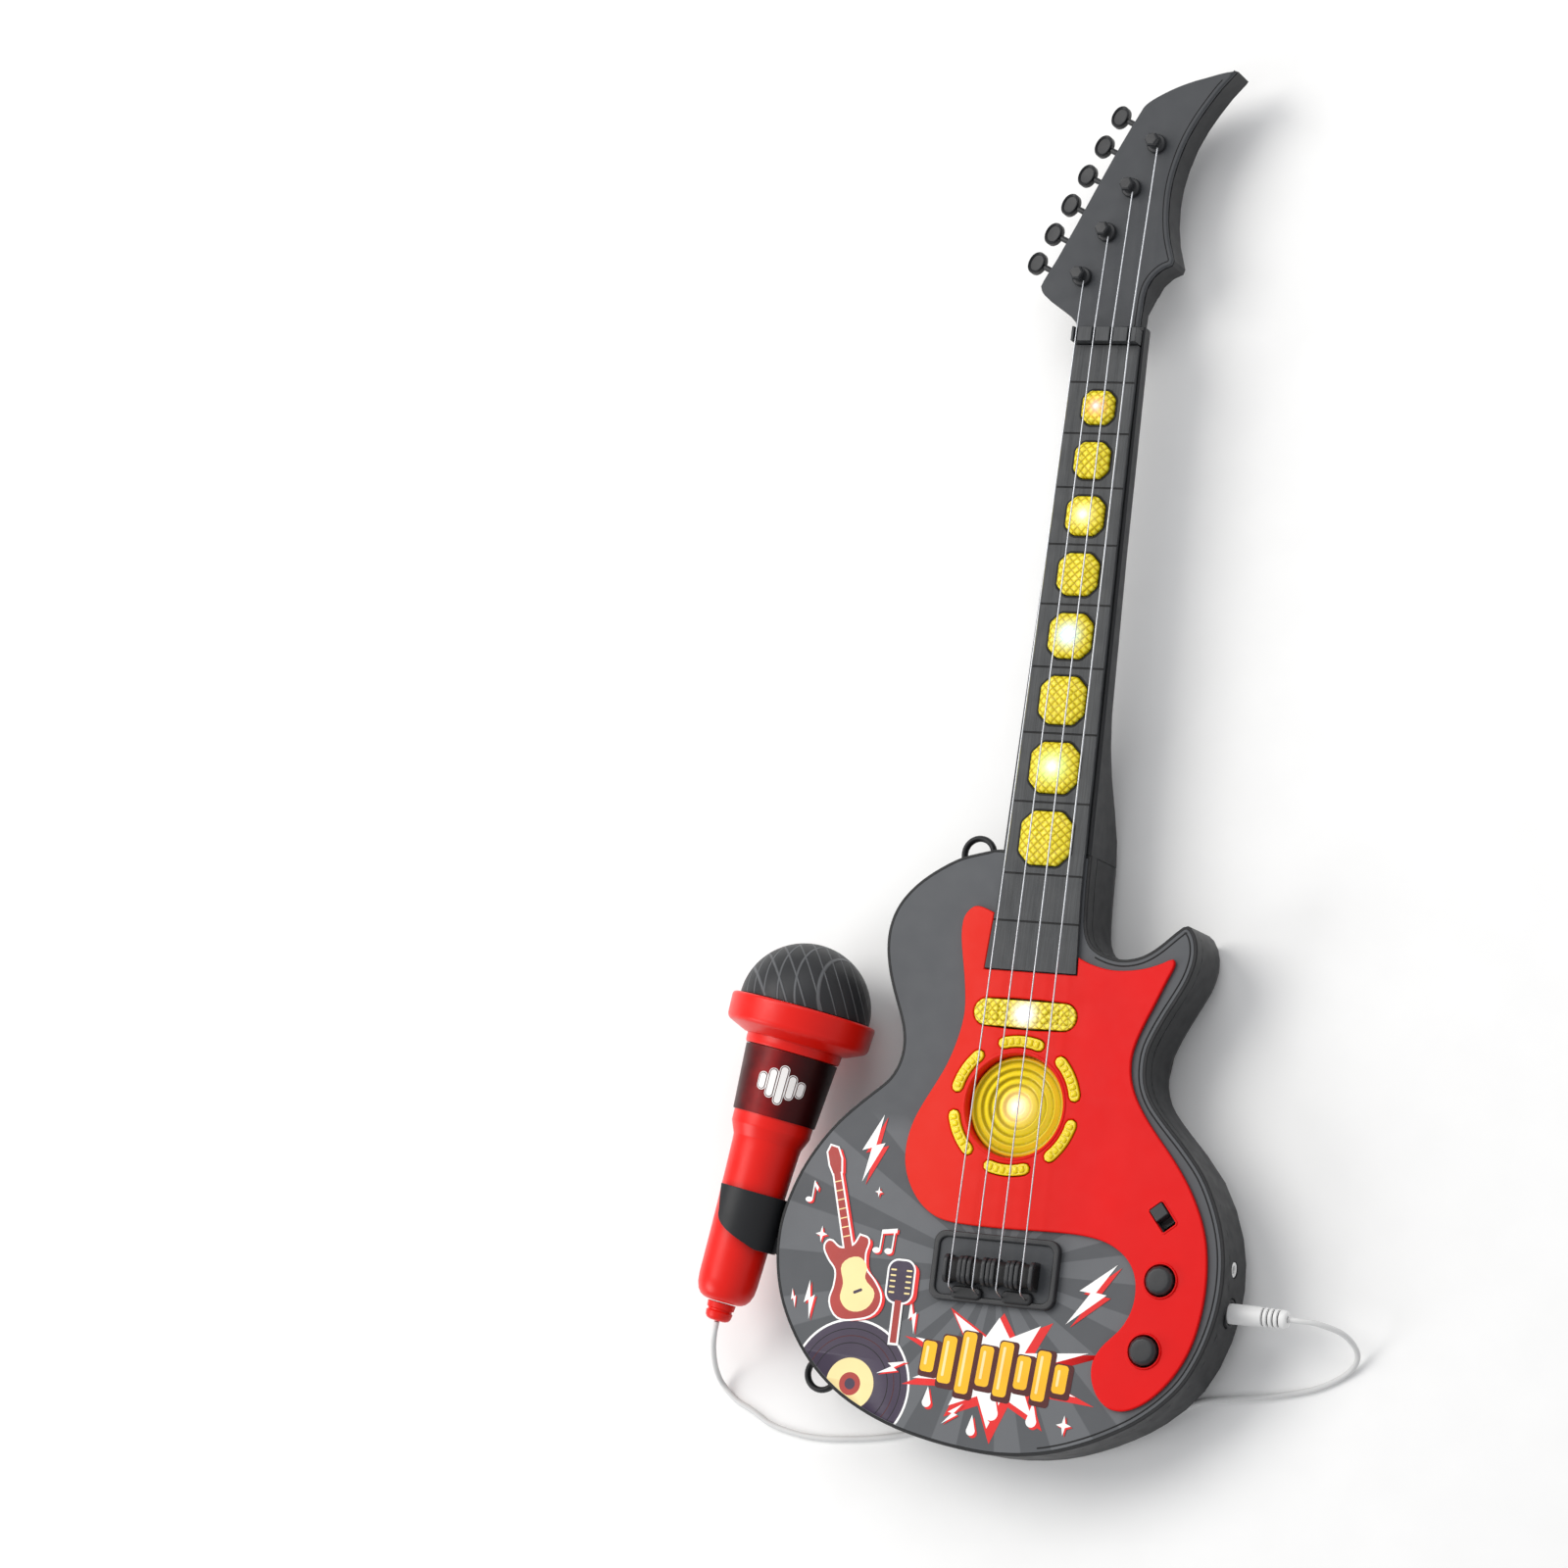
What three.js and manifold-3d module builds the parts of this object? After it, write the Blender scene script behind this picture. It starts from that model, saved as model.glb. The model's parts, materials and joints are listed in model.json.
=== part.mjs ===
// Toy electric guitar with a clip-on microphone, lying face up on its back.
// Millimetres. X runs across the guitar, Y runs from the tail to the headstock, Z is up out of the face.
// The origin is on the flat back, under the middle of the round sound lens.
import * as THREE from "three";
import { mergeVertices } from "three/addons/utils/BufferGeometryUtils.js";
import Module from "manifold-3d";

const wasm = await Module();
wasm.setup();

// ---------------------------------------------------------------- driving dimensions
const GAP = 0.35; // air between pieces that touch or run against each other
const FACE_Z = 38; // top of the body
const SEAM_Z = 31.2; // where the front casing meets the rear casing
const WALL = 2.4; // shell thickness
const NECK_END_Y = 109; // the neck butts against the body here
const NUT = { x: -0.6, y: 335.4, half: 15, depth: 3.2, top: 45.6, string: 44.85 };
const NECK_TOP_Y = 340.6; // the neck steps down to the headstock here
const PANEL_TOP = 40; // top of the red panel
const BOARD_TOP = 40.6; // top of the fingerboard
const HEAD_FRONT = 34.4; // front face of the headstock
const HEAD_BACK = 17; // rear face of the headstock
const POSTS = [[9.8, 423.7], [0.5, 403.8], [-8.4, 383.7], [-17.5, 363.6]]; // string posts on the headstock
const TUNER = { x: -43.1, y: 372.2, z: 26, stepX: 6.2, stepY: 13.32, reach: 10.2, count: 6 };
const KEYS = 8;
const FIRST_FRET_Y = 315;
const STRING_R = 0.55;
const STRINGS = 4;
const NUT_PITCH = 8.27; // between strings at the nut
const BRIDGE_PITCH = 10.8; // between strings at the bridge
const RING_MID = 27.4; // radius along the middle of the six arc lenses
const RING_W = 4.6;
const SOUND_R = 22; // hole for the round lens
const BAR = { x: 0, y: 39, length: 46.5, width: 11.4 };
const BRIDGE = { x: 0.4, y: -69.6, length: 57, width: 29.4 };
const SADDLE = { y: -71, length: 42, width: 12.4, top: 48.4 };
const MELODY = { x: 74.4, y: -67, r: 6.1 };
const VOLUME = { x: 70.8, y: -96.5, r: 6.1 };
const SWITCH = { x: 72.1, y: -40.7, angle: -50, length: 11.4, width: 7 };
const JACK = { y: -76.4, z: 23, r: 4.4, wall: 99.6 };
const AUX = { y: -58.4, z: 24.5, r: 3.3 };
const DOOR = { x: -8, y: -68, length: 64, width: 54 };
const SPEAKER = { x: -4, y: 50, r: 25 };
const MIC = { x: -120.7, y: -57.7, z: 33, lean: 9.24 }; // middle of the clip; the axis leans from +Y
const CLIP = { inner: 14.6, outer: 16.4, from: -12.2, to: 11.6, lower: -100, upper: 126 };
const STRAP = { half: 8.15, reach: 12.5, bar: 2.7, bottom: 17.5, top: 21.5 };
const STRAP_UPPER = { x: -38.2, y: 105, outward: 97 };
const STRAP_LOWER = { x: -78.9, y: -116.7, outward: 233 };
const CORD_R = 1.2; // radius of the microphone lead

// ---------------------------------------------------------------- materials
function material(color, roughness, metalness = 0) {
  return new THREE.MeshStandardMaterial({ color, roughness, metalness });
}
const CHARCOAL = material(0x5b5d60, 0.48);
const RIM = material(0x2c2d2f, 0.45);
const BLACK = material(0x232425, 0.5);
const RED = material(0xe81a1c, 0.34);
const YELLOW = material(0xf5da12, 0.28);
const SLATE = material(0x4a4c4e, 0.46);
const GRAPHITE = material(0x3e3f41, 0.4);
const STEEL = material(0xb9bcc0, 0.3, 0.9);
const WHITE = material(0xe6e6e4, 0.42);
const MAROON = material(0x5a1012, 0.4);
const BOARD = material(0x1f6b3a, 0.55);
const GREY_RUBBER = material(0x9b9c9a, 0.8);
const CELL = material(0x2f6f9f, 0.35, 0.2);

// ---------------------------------------------------------------- solids
function toSolid(geometry) {
  const flat = geometry.clone();
  flat.deleteAttribute("normal");
  flat.deleteAttribute("uv");
  const merged = mergeVertices(flat, 1e-4);
  const mesh = new wasm.Mesh({
    numProp: 3,
    vertProperties: new Float32Array(merged.attributes.position.array),
    triVerts: new Uint32Array(merged.index.array),
  });
  return new wasm.Manifold(mesh);
}

function toGeometry(solid) {
  const mesh = solid.getMesh();
  const geometry = new THREE.BufferGeometry();
  const position = new Float32Array(mesh.vertProperties);
  geometry.setAttribute("position", new THREE.BufferAttribute(position, 3));
  geometry.setIndex(new THREE.BufferAttribute(new Uint32Array(mesh.triVerts), 1));
  geometry.computeVertexNormals();
  return geometry;
}

const guitar = new THREE.Group();

function addPart(name, solid, look, parent = guitar) {
  const geometry = solid.isBufferGeometry ? solid : toGeometry(solid);
  const mesh = new THREE.Mesh(geometry, look);
  mesh.name = name;
  parent.add(mesh);
  return mesh;
}

function union(solids) {
  return solids.reduce((sum, next) => sum.add(next));
}

function box(x0, x1, y0, y1, z0, z1) {
  const geometry = new THREE.BoxGeometry(x1 - x0, y1 - y0, z1 - z0);
  geometry.translate((x0 + x1) / 2, (y0 + y1) / 2, (z0 + z1) / 2);
  return toSolid(geometry);
}

function cylinder(x, y, r, z0, z1, sides = 24) {
  const geometry = new THREE.CylinderGeometry(r, r, z1 - z0, sides);
  geometry.rotateX(Math.PI / 2);
  geometry.translate(x, y, (z0 + z1) / 2);
  return toSolid(geometry);
}

function cylinderX(y, z, r, x0, x1, sides = 20) {
  const geometry = new THREE.CylinderGeometry(r, r, x1 - x0, sides);
  geometry.rotateZ(Math.PI / 2);
  geometry.translate((x0 + x1) / 2, y, z);
  return toSolid(geometry);
}

// A straight round rod between two points.
function rod(a, b, r, sides = 8) {
  const from = new THREE.Vector3(...a);
  const to = new THREE.Vector3(...b);
  const along = to.clone().sub(from);
  const geometry = new THREE.CylinderGeometry(r, r, along.length(), sides);
  const up = new THREE.Vector3(0, 1, 0);
  const turn = new THREE.Quaternion().setFromUnitVectors(up, along.normalize());
  geometry.applyQuaternion(turn);
  geometry.translate(...from.add(to).multiplyScalar(0.5).toArray());
  return toSolid(geometry);
}

// A profile of [radius, height] pairs turned about the Z axis.
function turned(profile, sides, x = 0, y = 0) {
  const geometry = new THREE.LatheGeometry(
    profile.map(([r, z]) => new THREE.Vector2(r, z)),
    sides,
  );
  geometry.rotateX(Math.PI / 2);
  geometry.translate(x, y, 0);
  return toSolid(geometry);
}

function prism(points, z0, z1) {
  const shape = new THREE.Shape(points.map(([x, y]) => new THREE.Vector2(x, y)));
  const geometry = new THREE.ExtrudeGeometry(shape, { depth: z1 - z0, bevelEnabled: false });
  geometry.translate(0, 0, z0);
  return toSolid(geometry);
}

// A prism between two X planes, with its outline given in Y and Z.
function prismAcross(points, x0, x1) {
  const shape = new THREE.Shape(points.map(([y, z]) => new THREE.Vector2(y, z)));
  const geometry = new THREE.ExtrudeGeometry(shape, { depth: x1 - x0, bevelEnabled: false });
  geometry.applyMatrix4(new THREE.Matrix4().set(0, 0, 1, x0, 1, 0, 0, 0, 0, 1, 0, 0, 0, 0, 0, 1));
  return toSolid(geometry);
}

function cutAway(solid, cuts) {
  return cuts.reduce((left, cut) => left.subtract(cut), solid);
}

// A closed skin over rings of points that all have the same count, with flat ends.
function loft(rings) {
  const count = rings[0].length;
  const position = rings.flat(2);
  const index = [];
  for (let r = 0; r < rings.length - 1; r += 1) {
    for (let i = 0; i < count; i += 1) {
      const a = r * count + i;
      const b = r * count + ((i + 1) % count);
      index.push(a, b, b + count, a, b + count, a + count);
    }
  }
  const flat = rings.map((ring) => ring.map((p) => new THREE.Vector2(p[loft.u], p[loft.v])));
  const size = (outline) => Math.abs(THREE.ShapeUtils.area(outline));
  const outline = flat.reduce((widest, next) => (size(next) > size(widest) ? next : widest));
  const top = (rings.length - 1) * count;
  THREE.ShapeUtils.triangulateShape(outline, []).forEach(([a, b, c]) => {
    index.push(c, b, a, a + top, b + top, c + top);
  });
  const geometry = new THREE.BufferGeometry();
  geometry.setAttribute("position", new THREE.Float32BufferAttribute(position, 3));
  geometry.setIndex(index);
  return toSolid(geometry);
}
loft.u = 0;
loft.v = 1;

// ---------------------------------------------------------------- plan curves
function smoothLine(points, perSpan) {
  const curve = new THREE.CatmullRomCurve3(points.map(([x, y]) => new THREE.Vector3(x, y, 0)));
  return curve.getPoints((points.length - 1) * perSpan).map((p) => [p.x, p.y]);
}

function smoothLoop(points, perSpan) {
  const curve = new THREE.CatmullRomCurve3(
    points.map(([x, y]) => new THREE.Vector3(x, y, 0)),
    true,
  );
  return curve
    .getPoints(points.length * perSpan)
    .slice(0, -1)
    .map((p) => [p.x, p.y]);
}

// Moves each point of a counter-clockwise loop inwards by depth(point).
function inset(loop, depth) {
  const count = loop.length;
  return loop.map((p, i) => {
    const before = loop[(i + count - 1) % count];
    const after = loop[(i + 1) % count];
    const a = new THREE.Vector2(p[0] - before[0], p[1] - before[1]).normalize();
    const b = new THREE.Vector2(after[0] - p[0], after[1] - p[1]).normalize();
    const n = new THREE.Vector2(-a.y - b.y, a.x + b.x).normalize();
    const stretch = 1 / Math.max(0.6, -a.y * n.x + a.x * n.y);
    const d = depth(p) * stretch;
    return [p[0] + n.x * d, p[1] + n.y * d];
  });
}

function atHeight(loop, z) {
  return loop.map(([x, y]) => [x, y, z]);
}

function arcPoints(x, y, r, from, to, steps) {
  return Array.from({ length: steps + 1 }, (_, i) => {
    const a = THREE.MathUtils.degToRad(from + ((to - from) * i) / steps);
    return [x + r * Math.cos(a), y + r * Math.sin(a)];
  });
}

function roundedBox(x, y, length, width, r, steps = 4) {
  const cx = length / 2 - r;
  const cy = width / 2 - r;
  return [
    ...arcPoints(x + cx, y + cy, r, 0, 90, steps),
    ...arcPoints(x - cx, y + cy, r, 90, 180, steps),
    ...arcPoints(x - cx, y - cy, r, 180, 270, steps),
    ...arcPoints(x + cx, y - cy, r, 270, 360, steps),
  ];
}

function turnLoop(loop, x, y, degrees) {
  const a = THREE.MathUtils.degToRad(degrees);
  const c = Math.cos(a);
  const s = Math.sin(a);
  return loop.map(([u, v]) => [x + u * c - v * s, y + u * s + v * c]);
}

// The body's widest outline, from the left of the neck round the tail to the right of the neck.
// Both ends run on past the neck joint, where the casings are cut off square.
const BODY = smoothLine(
  [
    [-20.6, 130], [-20.6, 116], [-22.4, 110.2], [-28, 107.9], [-38, 105], [-48, 99.6], [-58, 91.9],
    [-65.2, 82.6], [-68.4, 72.5], [-68, 61], [-64, 47.5], [-57, 31], [-55.3, 23], [-56, 15], [-59.6, 7.5],
    [-66, 1.4], [-81, -13], [-94, -32.5], [-101, -52.5], [-102.3, -65], [-101, -78], [-96, -93.5],
    [-83, -113.3], [-64, -129], [-37, -140], [-4, -145.6], [14, -145.9], [31.5, -143.4], [46, -138.8],
    [60, -132.4], [73.5, -124], [88.5, -109], [98, -87.5], [101, -65.5], [98, -44.5], [87, -21.5],
    [69, -2.2], [61.5, 6], [57.5, 13.4], [56.2, 21], [57, 29.5], [63, 43.5], [70.3, 58], [72.8, 68.5],
    [71.4, 77], [67.2, 81.9], [63.4, 79.6], [59, 75.5], [53.5, 70.7], [47.5, 67.3], [40, 65.8], [32.5, 67],
    [26, 70.4], [22.8, 76], [21.6, 84], [20.6, 109], [20.6, 130],
  ],
  2,
);

// How far the back edge is drawn in: gently at the horn, deeply round the tail.
function backDraw([, y]) {
  return 3.2 + 8 * THREE.MathUtils.smoothstep(-y, -30, 85);
}

function fingerboardHalf(y) {
  const t = THREE.MathUtils.clamp((332 - y) / 234, 0, 1);
  return 14.7 + 3.6 * t ** 1.2 + 0.062 * Math.max(0, 98 - y);
}

function fretY(i) {
  return FIRST_FRET_Y - 22.8 * i - 0.6 * i * (i - 1);
}

const keyPlaces = Array.from({ length: KEYS }, (_, i) => ({
  y: (fretY(i) + fretY(i + 1)) / 2,
  half: (14.8 + 1.2 * i) / 2,
}));

// A square with cut corners.
function keyLoop(y, half) {
  const c = half * 0.56;
  return [
    [half, y - c], [half, y + c], [c, y + half], [-c, y + half],
    [-half, y + c], [-half, y - c], [-c, y - half], [c, y - half],
  ];
}

// ---------------------------------------------------------------- body casings
const none = () => 0;
const scaled = (fn, k, extra = 0) => (p) => fn(p) * k + extra;
const ring = (depth, z) => atHeight(inset(BODY, depth), z);
const innerBody = BODY.filter((_, i) => i % 2 === 0);
const innerRing = (depth, z) => atHeight(inset(innerBody, depth), z);
const pastNeck = box(-40, 40, NECK_END_Y - GAP, 140, -5, 60);

const slotLoop = roundedBox(0, 0, SWITCH.length, SWITCH.width, 0.6, 1);
const switchSlot = turnLoop(slotLoop, SWITCH.x, SWITCH.y, SWITCH.angle);
const barHole = roundedBox(BAR.x, BAR.y, BAR.length + 0.8, BAR.width + 0.8, BAR.width / 2 + 0.35, 6);

const frontOuter = loft([
  ring(none, SEAM_Z),
  ring(none, 35.6),
  ring(() => 0.7, 37.4),
  ring(() => 2.2, FACE_Z),
]);
const frontInner = loft([
  innerRing(() => WALL, SEAM_Z - 1),
  innerRing(() => WALL, 34),
  innerRing(() => 3, FACE_Z - WALL),
]);
const frontCuts = [
  pastNeck,
  cylinder(0, 0, RING_MID + RING_W / 2 + 0.9, 34, 40, 40),
  prism(barHole, 34, 40),
  prism(switchSlot, 34, 40),
  cylinder(MELODY.x, MELODY.y, MELODY.r + 0.5, 34, 40),
  cylinder(VOLUME.x, VOLUME.y, VOLUME.r + 0.5, 34, 40),
  box(-15.6, 15.6, 97.5, 112, 34, 40),
];
addPart("front_casing", cutAway(frontOuter.subtract(frontInner), frontCuts), CHARCOAL);

const rearOuter = loft([
  ring(backDraw, 0),
  ring(scaled(backDraw, 0.66), 3),
  ring(scaled(backDraw, 0.28), 6.6),
  ring(none, 10.5),
  ring(none, SEAM_Z - GAP),
]);
const rearInner = loft([
  innerRing(scaled(backDraw, 0.8, WALL), WALL),
  innerRing(scaled(backDraw, 0.28, WALL), 6.6),
  innerRing(() => WALL, 11),
  innerRing(() => WALL, SEAM_Z + 1),
]);
function doorBox(margin, z0, z1) {
  const u = DOOR.length / 2 + margin;
  const v = DOOR.width / 2 + margin;
  return box(DOOR.x - u, DOOR.x + u, DOOR.y - v, DOOR.y + v, z0, z1);
}
const cellBox = doorBox(1.6, 1, 20);
const cellRoom = doorBox(-2.2, -1, 18.2);
const doorHole = prism(roundedBox(DOOR.x, DOOR.y, DOOR.length, DOOR.width, 2, 2), -1, 2.6);
const screwWell = { x: DOOR.x, y: DOOR.y + DOOR.width / 2 - 6.4 };
const soundHoles = [0, 8, 15].flatMap((r, lap) => {
  const count = [1, 6, 12][lap];
  return Array.from({ length: count }, (_, i) => {
    const a = (2 * Math.PI * i) / count;
    return cylinder(SPEAKER.x + r * Math.cos(a), SPEAKER.y + r * Math.sin(a), 1.7, -1, 4, 8);
  });
});
const rearCuts = [
  cellRoom,
  doorHole,
  pastNeck,
  cylinderX(JACK.y, JACK.z, JACK.r + 2.1, 94, 104),
  cylinderX(AUX.y, AUX.z, AUX.r + GAP, 94, 104, 16),
  ...soundHoles,
];
const rearShell = rearOuter.subtract(rearInner).add(cellBox);
addPart("rear_casing", cutAway(rearShell, rearCuts), RIM);

// ---------------------------------------------------------------- battery door, cells, speaker, boards
const doorLoop = roundedBox(DOOR.x, DOOR.y, DOOR.length - 2 * GAP, DOOR.width - 2 * GAP, 1.8, 2);
const doorCuts = [
  cylinder(screwWell.x, screwWell.y, 2.9, -1, 1.2, 16),
  cylinder(screwWell.x, screwWell.y, 1.6, -1, 4, 12),
];
addPart("battery_door", cutAway(prism(doorLoop, 0.2, 2.25), doorCuts), RIM);
const screwProfile = [[0, 0.45], [2.5, 0.45], [2.5, 0.85], [1.25, 0.85], [1.25, 5.6], [0, 5.6]];
addPart("door_screw", turned(screwProfile, 12, screwWell.x, screwWell.y), STEEL);
for (let i = 0; i < 3; i += 1) {
  const y = DOOR.y + (i - 1) * 15 - 1;
  const cell = cylinderX(y, 10.4, 7, DOOR.x - 25, DOOR.x + 24, 16);
  addPart(`battery_${i + 1}`, cell.add(cylinderX(y, 10.4, 2.6, DOOR.x + 23, DOOR.x + 25.5, 12)), CELL);
}
addPart(
  "speaker",
  turned([[0, 3], [SPEAKER.r, 3], [SPEAKER.r, 6], [11, 15], [11, 20], [0, 20]], 28, SPEAKER.x, SPEAKER.y),
  BLACK,
);
const mainBoardLoop = [
  [-34, 47], [-34, -30], [40, -52], [62, -112], [80, -104], [82, -70], [80, -34], [34, 0], [34, 47],
];
addPart("main_board", prism(mainBoardLoop, 26, 27.6), BOARD);

// ---------------------------------------------------------------- neck and headstock
const HEAD = [
  [11.6, 336], [11.6, 342.4], [11.7, 348.3], [12.5, 358.8], [14.9, 363.9], [18.8, 367.7], [22.9, 369.6],
  [23.5, 371.9], [22.7, 374.4], [20.2, 382], [18.6, 390.5], [18, 399.8], [18.5, 408.2], [20.1, 416.7],
  [22.9, 426], [27, 434.9], [31.3, 442.1], [36.1, 449.2], [41.7, 456], [42.4, 457.2], [37.3, 456.6],
  [28.9, 454.4], [20.5, 452], [12.2, 448.6], [4, 444], [1.3, 441.7], [-0.5, 438.5], [-10.3, 418.5],
  [-20.6, 395.5], [-30.9, 372.5], [-36.2, 362.2], [-37.2, 359.6], [-36, 356.7], [-32, 353.3],
  [-26.2, 349.6], [-21.3, 346.2], [-18.8, 343.7], [-18, 341.2], [-17.6, 336],
];

// How far the neck stands out beyond the fingerboard on each side.
function neckLip(y) {
  return THREE.MathUtils.mapLinear(THREE.MathUtils.clamp(y, 130, 332), 130, 332, 2.1, 1.2);
}

// A cross-section of the neck: flat on top, straight sides, rounded underneath.
function neckSection(y, side, depth, roundness) {
  const half = fingerboardHalf(y) + neckLip(y);
  const under = Array.from({ length: 11 }, (_, i) => {
    const a = Math.PI * (1 + i / 10);
    const c = Math.cos(a);
    const s = Math.sin(a);
    const x = half * Math.sign(c) * Math.abs(c) ** roundness;
    return [x, y, FACE_Z - side - (depth - side) * Math.abs(s) ** roundness];
  });
  const edge = FACE_Z - 0.7;
  return [[half, y, edge], [half - 0.7, y, FACE_Z], [-half + 0.7, y, FACE_Z], [-half, y, edge], ...under];
}

loft.v = 2;
const neckBar = loft([
  neckSection(NECK_TOP_Y, 5.2, 12.6, 0.8),
  neckSection(332, 5.2, 13, 0.8),
  neckSection(240, 5.4, 13.4, 0.8),
  neckSection(172, 6.4, 15, 0.75),
  neckSection(158, 8, 18, 0.7),
  neckSection(146, 11.5, 22, 0.62),
  neckSection(132, 18.5, 28.5, 0.52),
  neckSection(120, 25, 33, 0.45),
  neckSection(NECK_END_Y, 27, 35, 0.4),
]);
loft.v = 1;
const headBlock = loft([
  atHeight(inset(HEAD, () => 1.4), HEAD_BACK),
  atHeight(HEAD, HEAD_BACK + 1.8),
  atHeight(HEAD, HEAD_FRONT - 2),
]);

// Under its first stretch the headstock is only as deep as the neck, and slopes down to its full depth.
const headUnderside = prismAcross([[330, 5], [362, 5], [362, HEAD_BACK], [349, 25.6], [330, 25.6]], -60, 60);
function boardLoop(extra, from, to, steps) {
  const ys = Array.from({ length: steps + 1 }, (_, i) => from + ((to - from) * i) / steps);
  const right = ys.map((y) => [fingerboardHalf(y) + extra, y]);
  const left = [...ys].reverse().map((y) => [-fingerboardHalf(y) - extra, y]);
  return [...right, ...left];
}
const neckCuts = [
  prism(boardLoop(GAP, NECK_END_Y - 3, NUT.y + NUT.depth + GAP, 6), 36, 50),
  prism(boardLoop(-2.6, NECK_END_Y - 3, 328, 4), 31.5, 50),
  box(-10.9, 10.9, NECK_END_Y - 3, 328, 27.6, 31.6),
];
const neckSolid = neckBar.add(headBlock.subtract(headUnderside));
addPart("neck_shell", cutAway(neckSolid, neckCuts), BLACK);

const headHoles = POSTS.map(([x, y]) => cylinder(x, y, 3.1, 30, 40, 12));
const headPlate = loft([
  atHeight(inset(HEAD, () => 0.2), HEAD_FRONT - 1.7),
  atHeight(inset(HEAD, () => 0.2), HEAD_FRONT - 0.5),
  atHeight(inset(HEAD, () => 0.8), HEAD_FRONT),
]);
const headEnd = box(-60, 60, 330, NECK_TOP_Y + GAP, 20, 50);
addPart("head_cover", cutAway(headPlate, [headEnd, ...headHoles]), CHARCOAL);

// The fingerboard lies between the neck's lips and runs on over the body, raised.
const tongue = prism(boardLoop(0, NECK_END_Y + 0.6, 331.6, 6), 36.3, 38.4);
const boardPlate = prism(boardLoop(0, 57.6, 331.6, 8), FACE_Z + 0.3, BOARD_TOP);
const fretCuts = Array.from({ length: 10 }, (_, i) => {
  const y = i < 9 ? fretY(i) : 78.5;
  return box(-30, 30, y - 0.45, y + 0.45, BOARD_TOP - 0.7, BOARD_TOP + 1);
});
const keyHoles = keyPlaces.map(({ y, half }) => prism(keyLoop(y, half + 0.45), 30, 45));
addPart("fingerboard", cutAway(tongue.add(boardPlate), [...fretCuts, ...keyHoles]), SLATE);
const nutSlots = Array.from({ length: STRINGS }, (_, i) => {
  const x = NUT.x + (i - 1.5) * NUT_PITCH;
  return box(x - 0.9, x + 0.9, 325, 350, NUT.string - 0.95, 50);
});
const nutFront = NUT.y - NUT.depth;
const nutRear = NUT.y + NUT.depth;
const nutFoot = box(-14.6, 14.6, nutFront, nutRear, 36.3, 40);
const nutBlock = box(-NUT.half, NUT.half, nutFront, nutRear, FACE_Z + 0.3, NUT.top).add(nutFoot);
addPart("nut", cutAway(nutBlock, nutSlots), SLATE);

// Eight translucent keys with a flange that keeps each under the fingerboard.
keyPlaces.forEach(({ y, half }, i) => {
  const flange = Math.min(half + 1.2, 13.6);
  const stem = loft([
    atHeight(keyLoop(y, half), 34.6),
    atHeight(keyLoop(y, half), BOARD_TOP + 1.4),
    atHeight(keyLoop(y, half - 1.6), BOARD_TOP + 3),
    atHeight(keyLoop(y, half * 0.45), BOARD_TOP + 3.9),
  ]);
  const plate = prism(keyLoop(y, flange), 33.2, 34.9);
  addPart(`fret_key_${i + 1}`, stem.add(plate), YELLOW);
});
const padDomes = keyPlaces.map(({ y }) => cylinder(0, y, 4, 30, 31.3, 12));
addPart("key_pad_strip", union([box(-9.5, 9.5, 104.5, 322, 29.8, 30.4), ...padDomes]), GREY_RUBBER);
addPart("key_board", box(-10.5, 10.5, 104.5, 322, 28, 29.4), BOARD);

// ---------------------------------------------------------------- tuners and strings
const postProfile = [
  [0, 32.7], [2.7, 32.7], [2.7, 34.8], [4, 34.8], [4, 36.6], [2.6, 37.2], [2.6, 40.4], [3.1, 40.8],
  [3.1, 42.4], [2.3, 43], [0, 43],
];
POSTS.forEach(([x, y], i) => {
  addPart(`string_post_${i + 1}`, turned(postProfile, 12, x, y), GRAPHITE);
});
const tunerAngle = THREE.MathUtils.radToDeg(Math.atan2(TUNER.stepY, TUNER.stepX));
for (let i = 0; i < TUNER.count; i += 1) {
  const oval = new THREE.CylinderGeometry(4.4, 4.4, 4.6, 14).rotateX(Math.PI / 2).scale(1, 1.3, 1);
  const stemLength = TUNER.reach - GAP;
  const stem = toSolid(new THREE.BoxGeometry(stemLength, 2.6, 2.6).translate(stemLength / 2, 0, 0));
  const key = toGeometry(toSolid(oval).add(stem));
  key.rotateZ(THREE.MathUtils.degToRad(tunerAngle - 90));
  key.translate(TUNER.x + i * TUNER.stepX, TUNER.y + i * TUNER.stepY, TUNER.z);
  addPart(`tuner_key_${i + 1}`, key, GRAPHITE);
}

const stringZ = SADDLE.top + GAP + STRING_R;
for (let i = 0; i < STRINGS; i += 1) {
  const [postX, postY] = POSTS[STRINGS - 1 - i];
  const nutX = NUT.x + (i - 1.5) * NUT_PITCH;
  const bridgeX = BRIDGE.x + (i - 1.5) * BRIDGE_PITCH;
  const saddleRear = SADDLE.y - SADDLE.width / 2;
  const route = [
    [postX + 2.2, postY - 2.8, 39.4],
    [nutX, nutRear + 0.4, NUT.string],
    [nutX, nutFront - 0.4, NUT.string],
    [bridgeX, SADDLE.y + SADDLE.width / 2, stringZ],
    [bridgeX, saddleRear - 1, stringZ],
    [bridgeX, saddleRear - 3.4, 42.6],
  ];
  const pieces = route.slice(1).map((p, n) => rod(route[n], p, STRING_R, 6));
  addPart(`string_${i + 1}`, union(pieces), STEEL);
}

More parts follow.
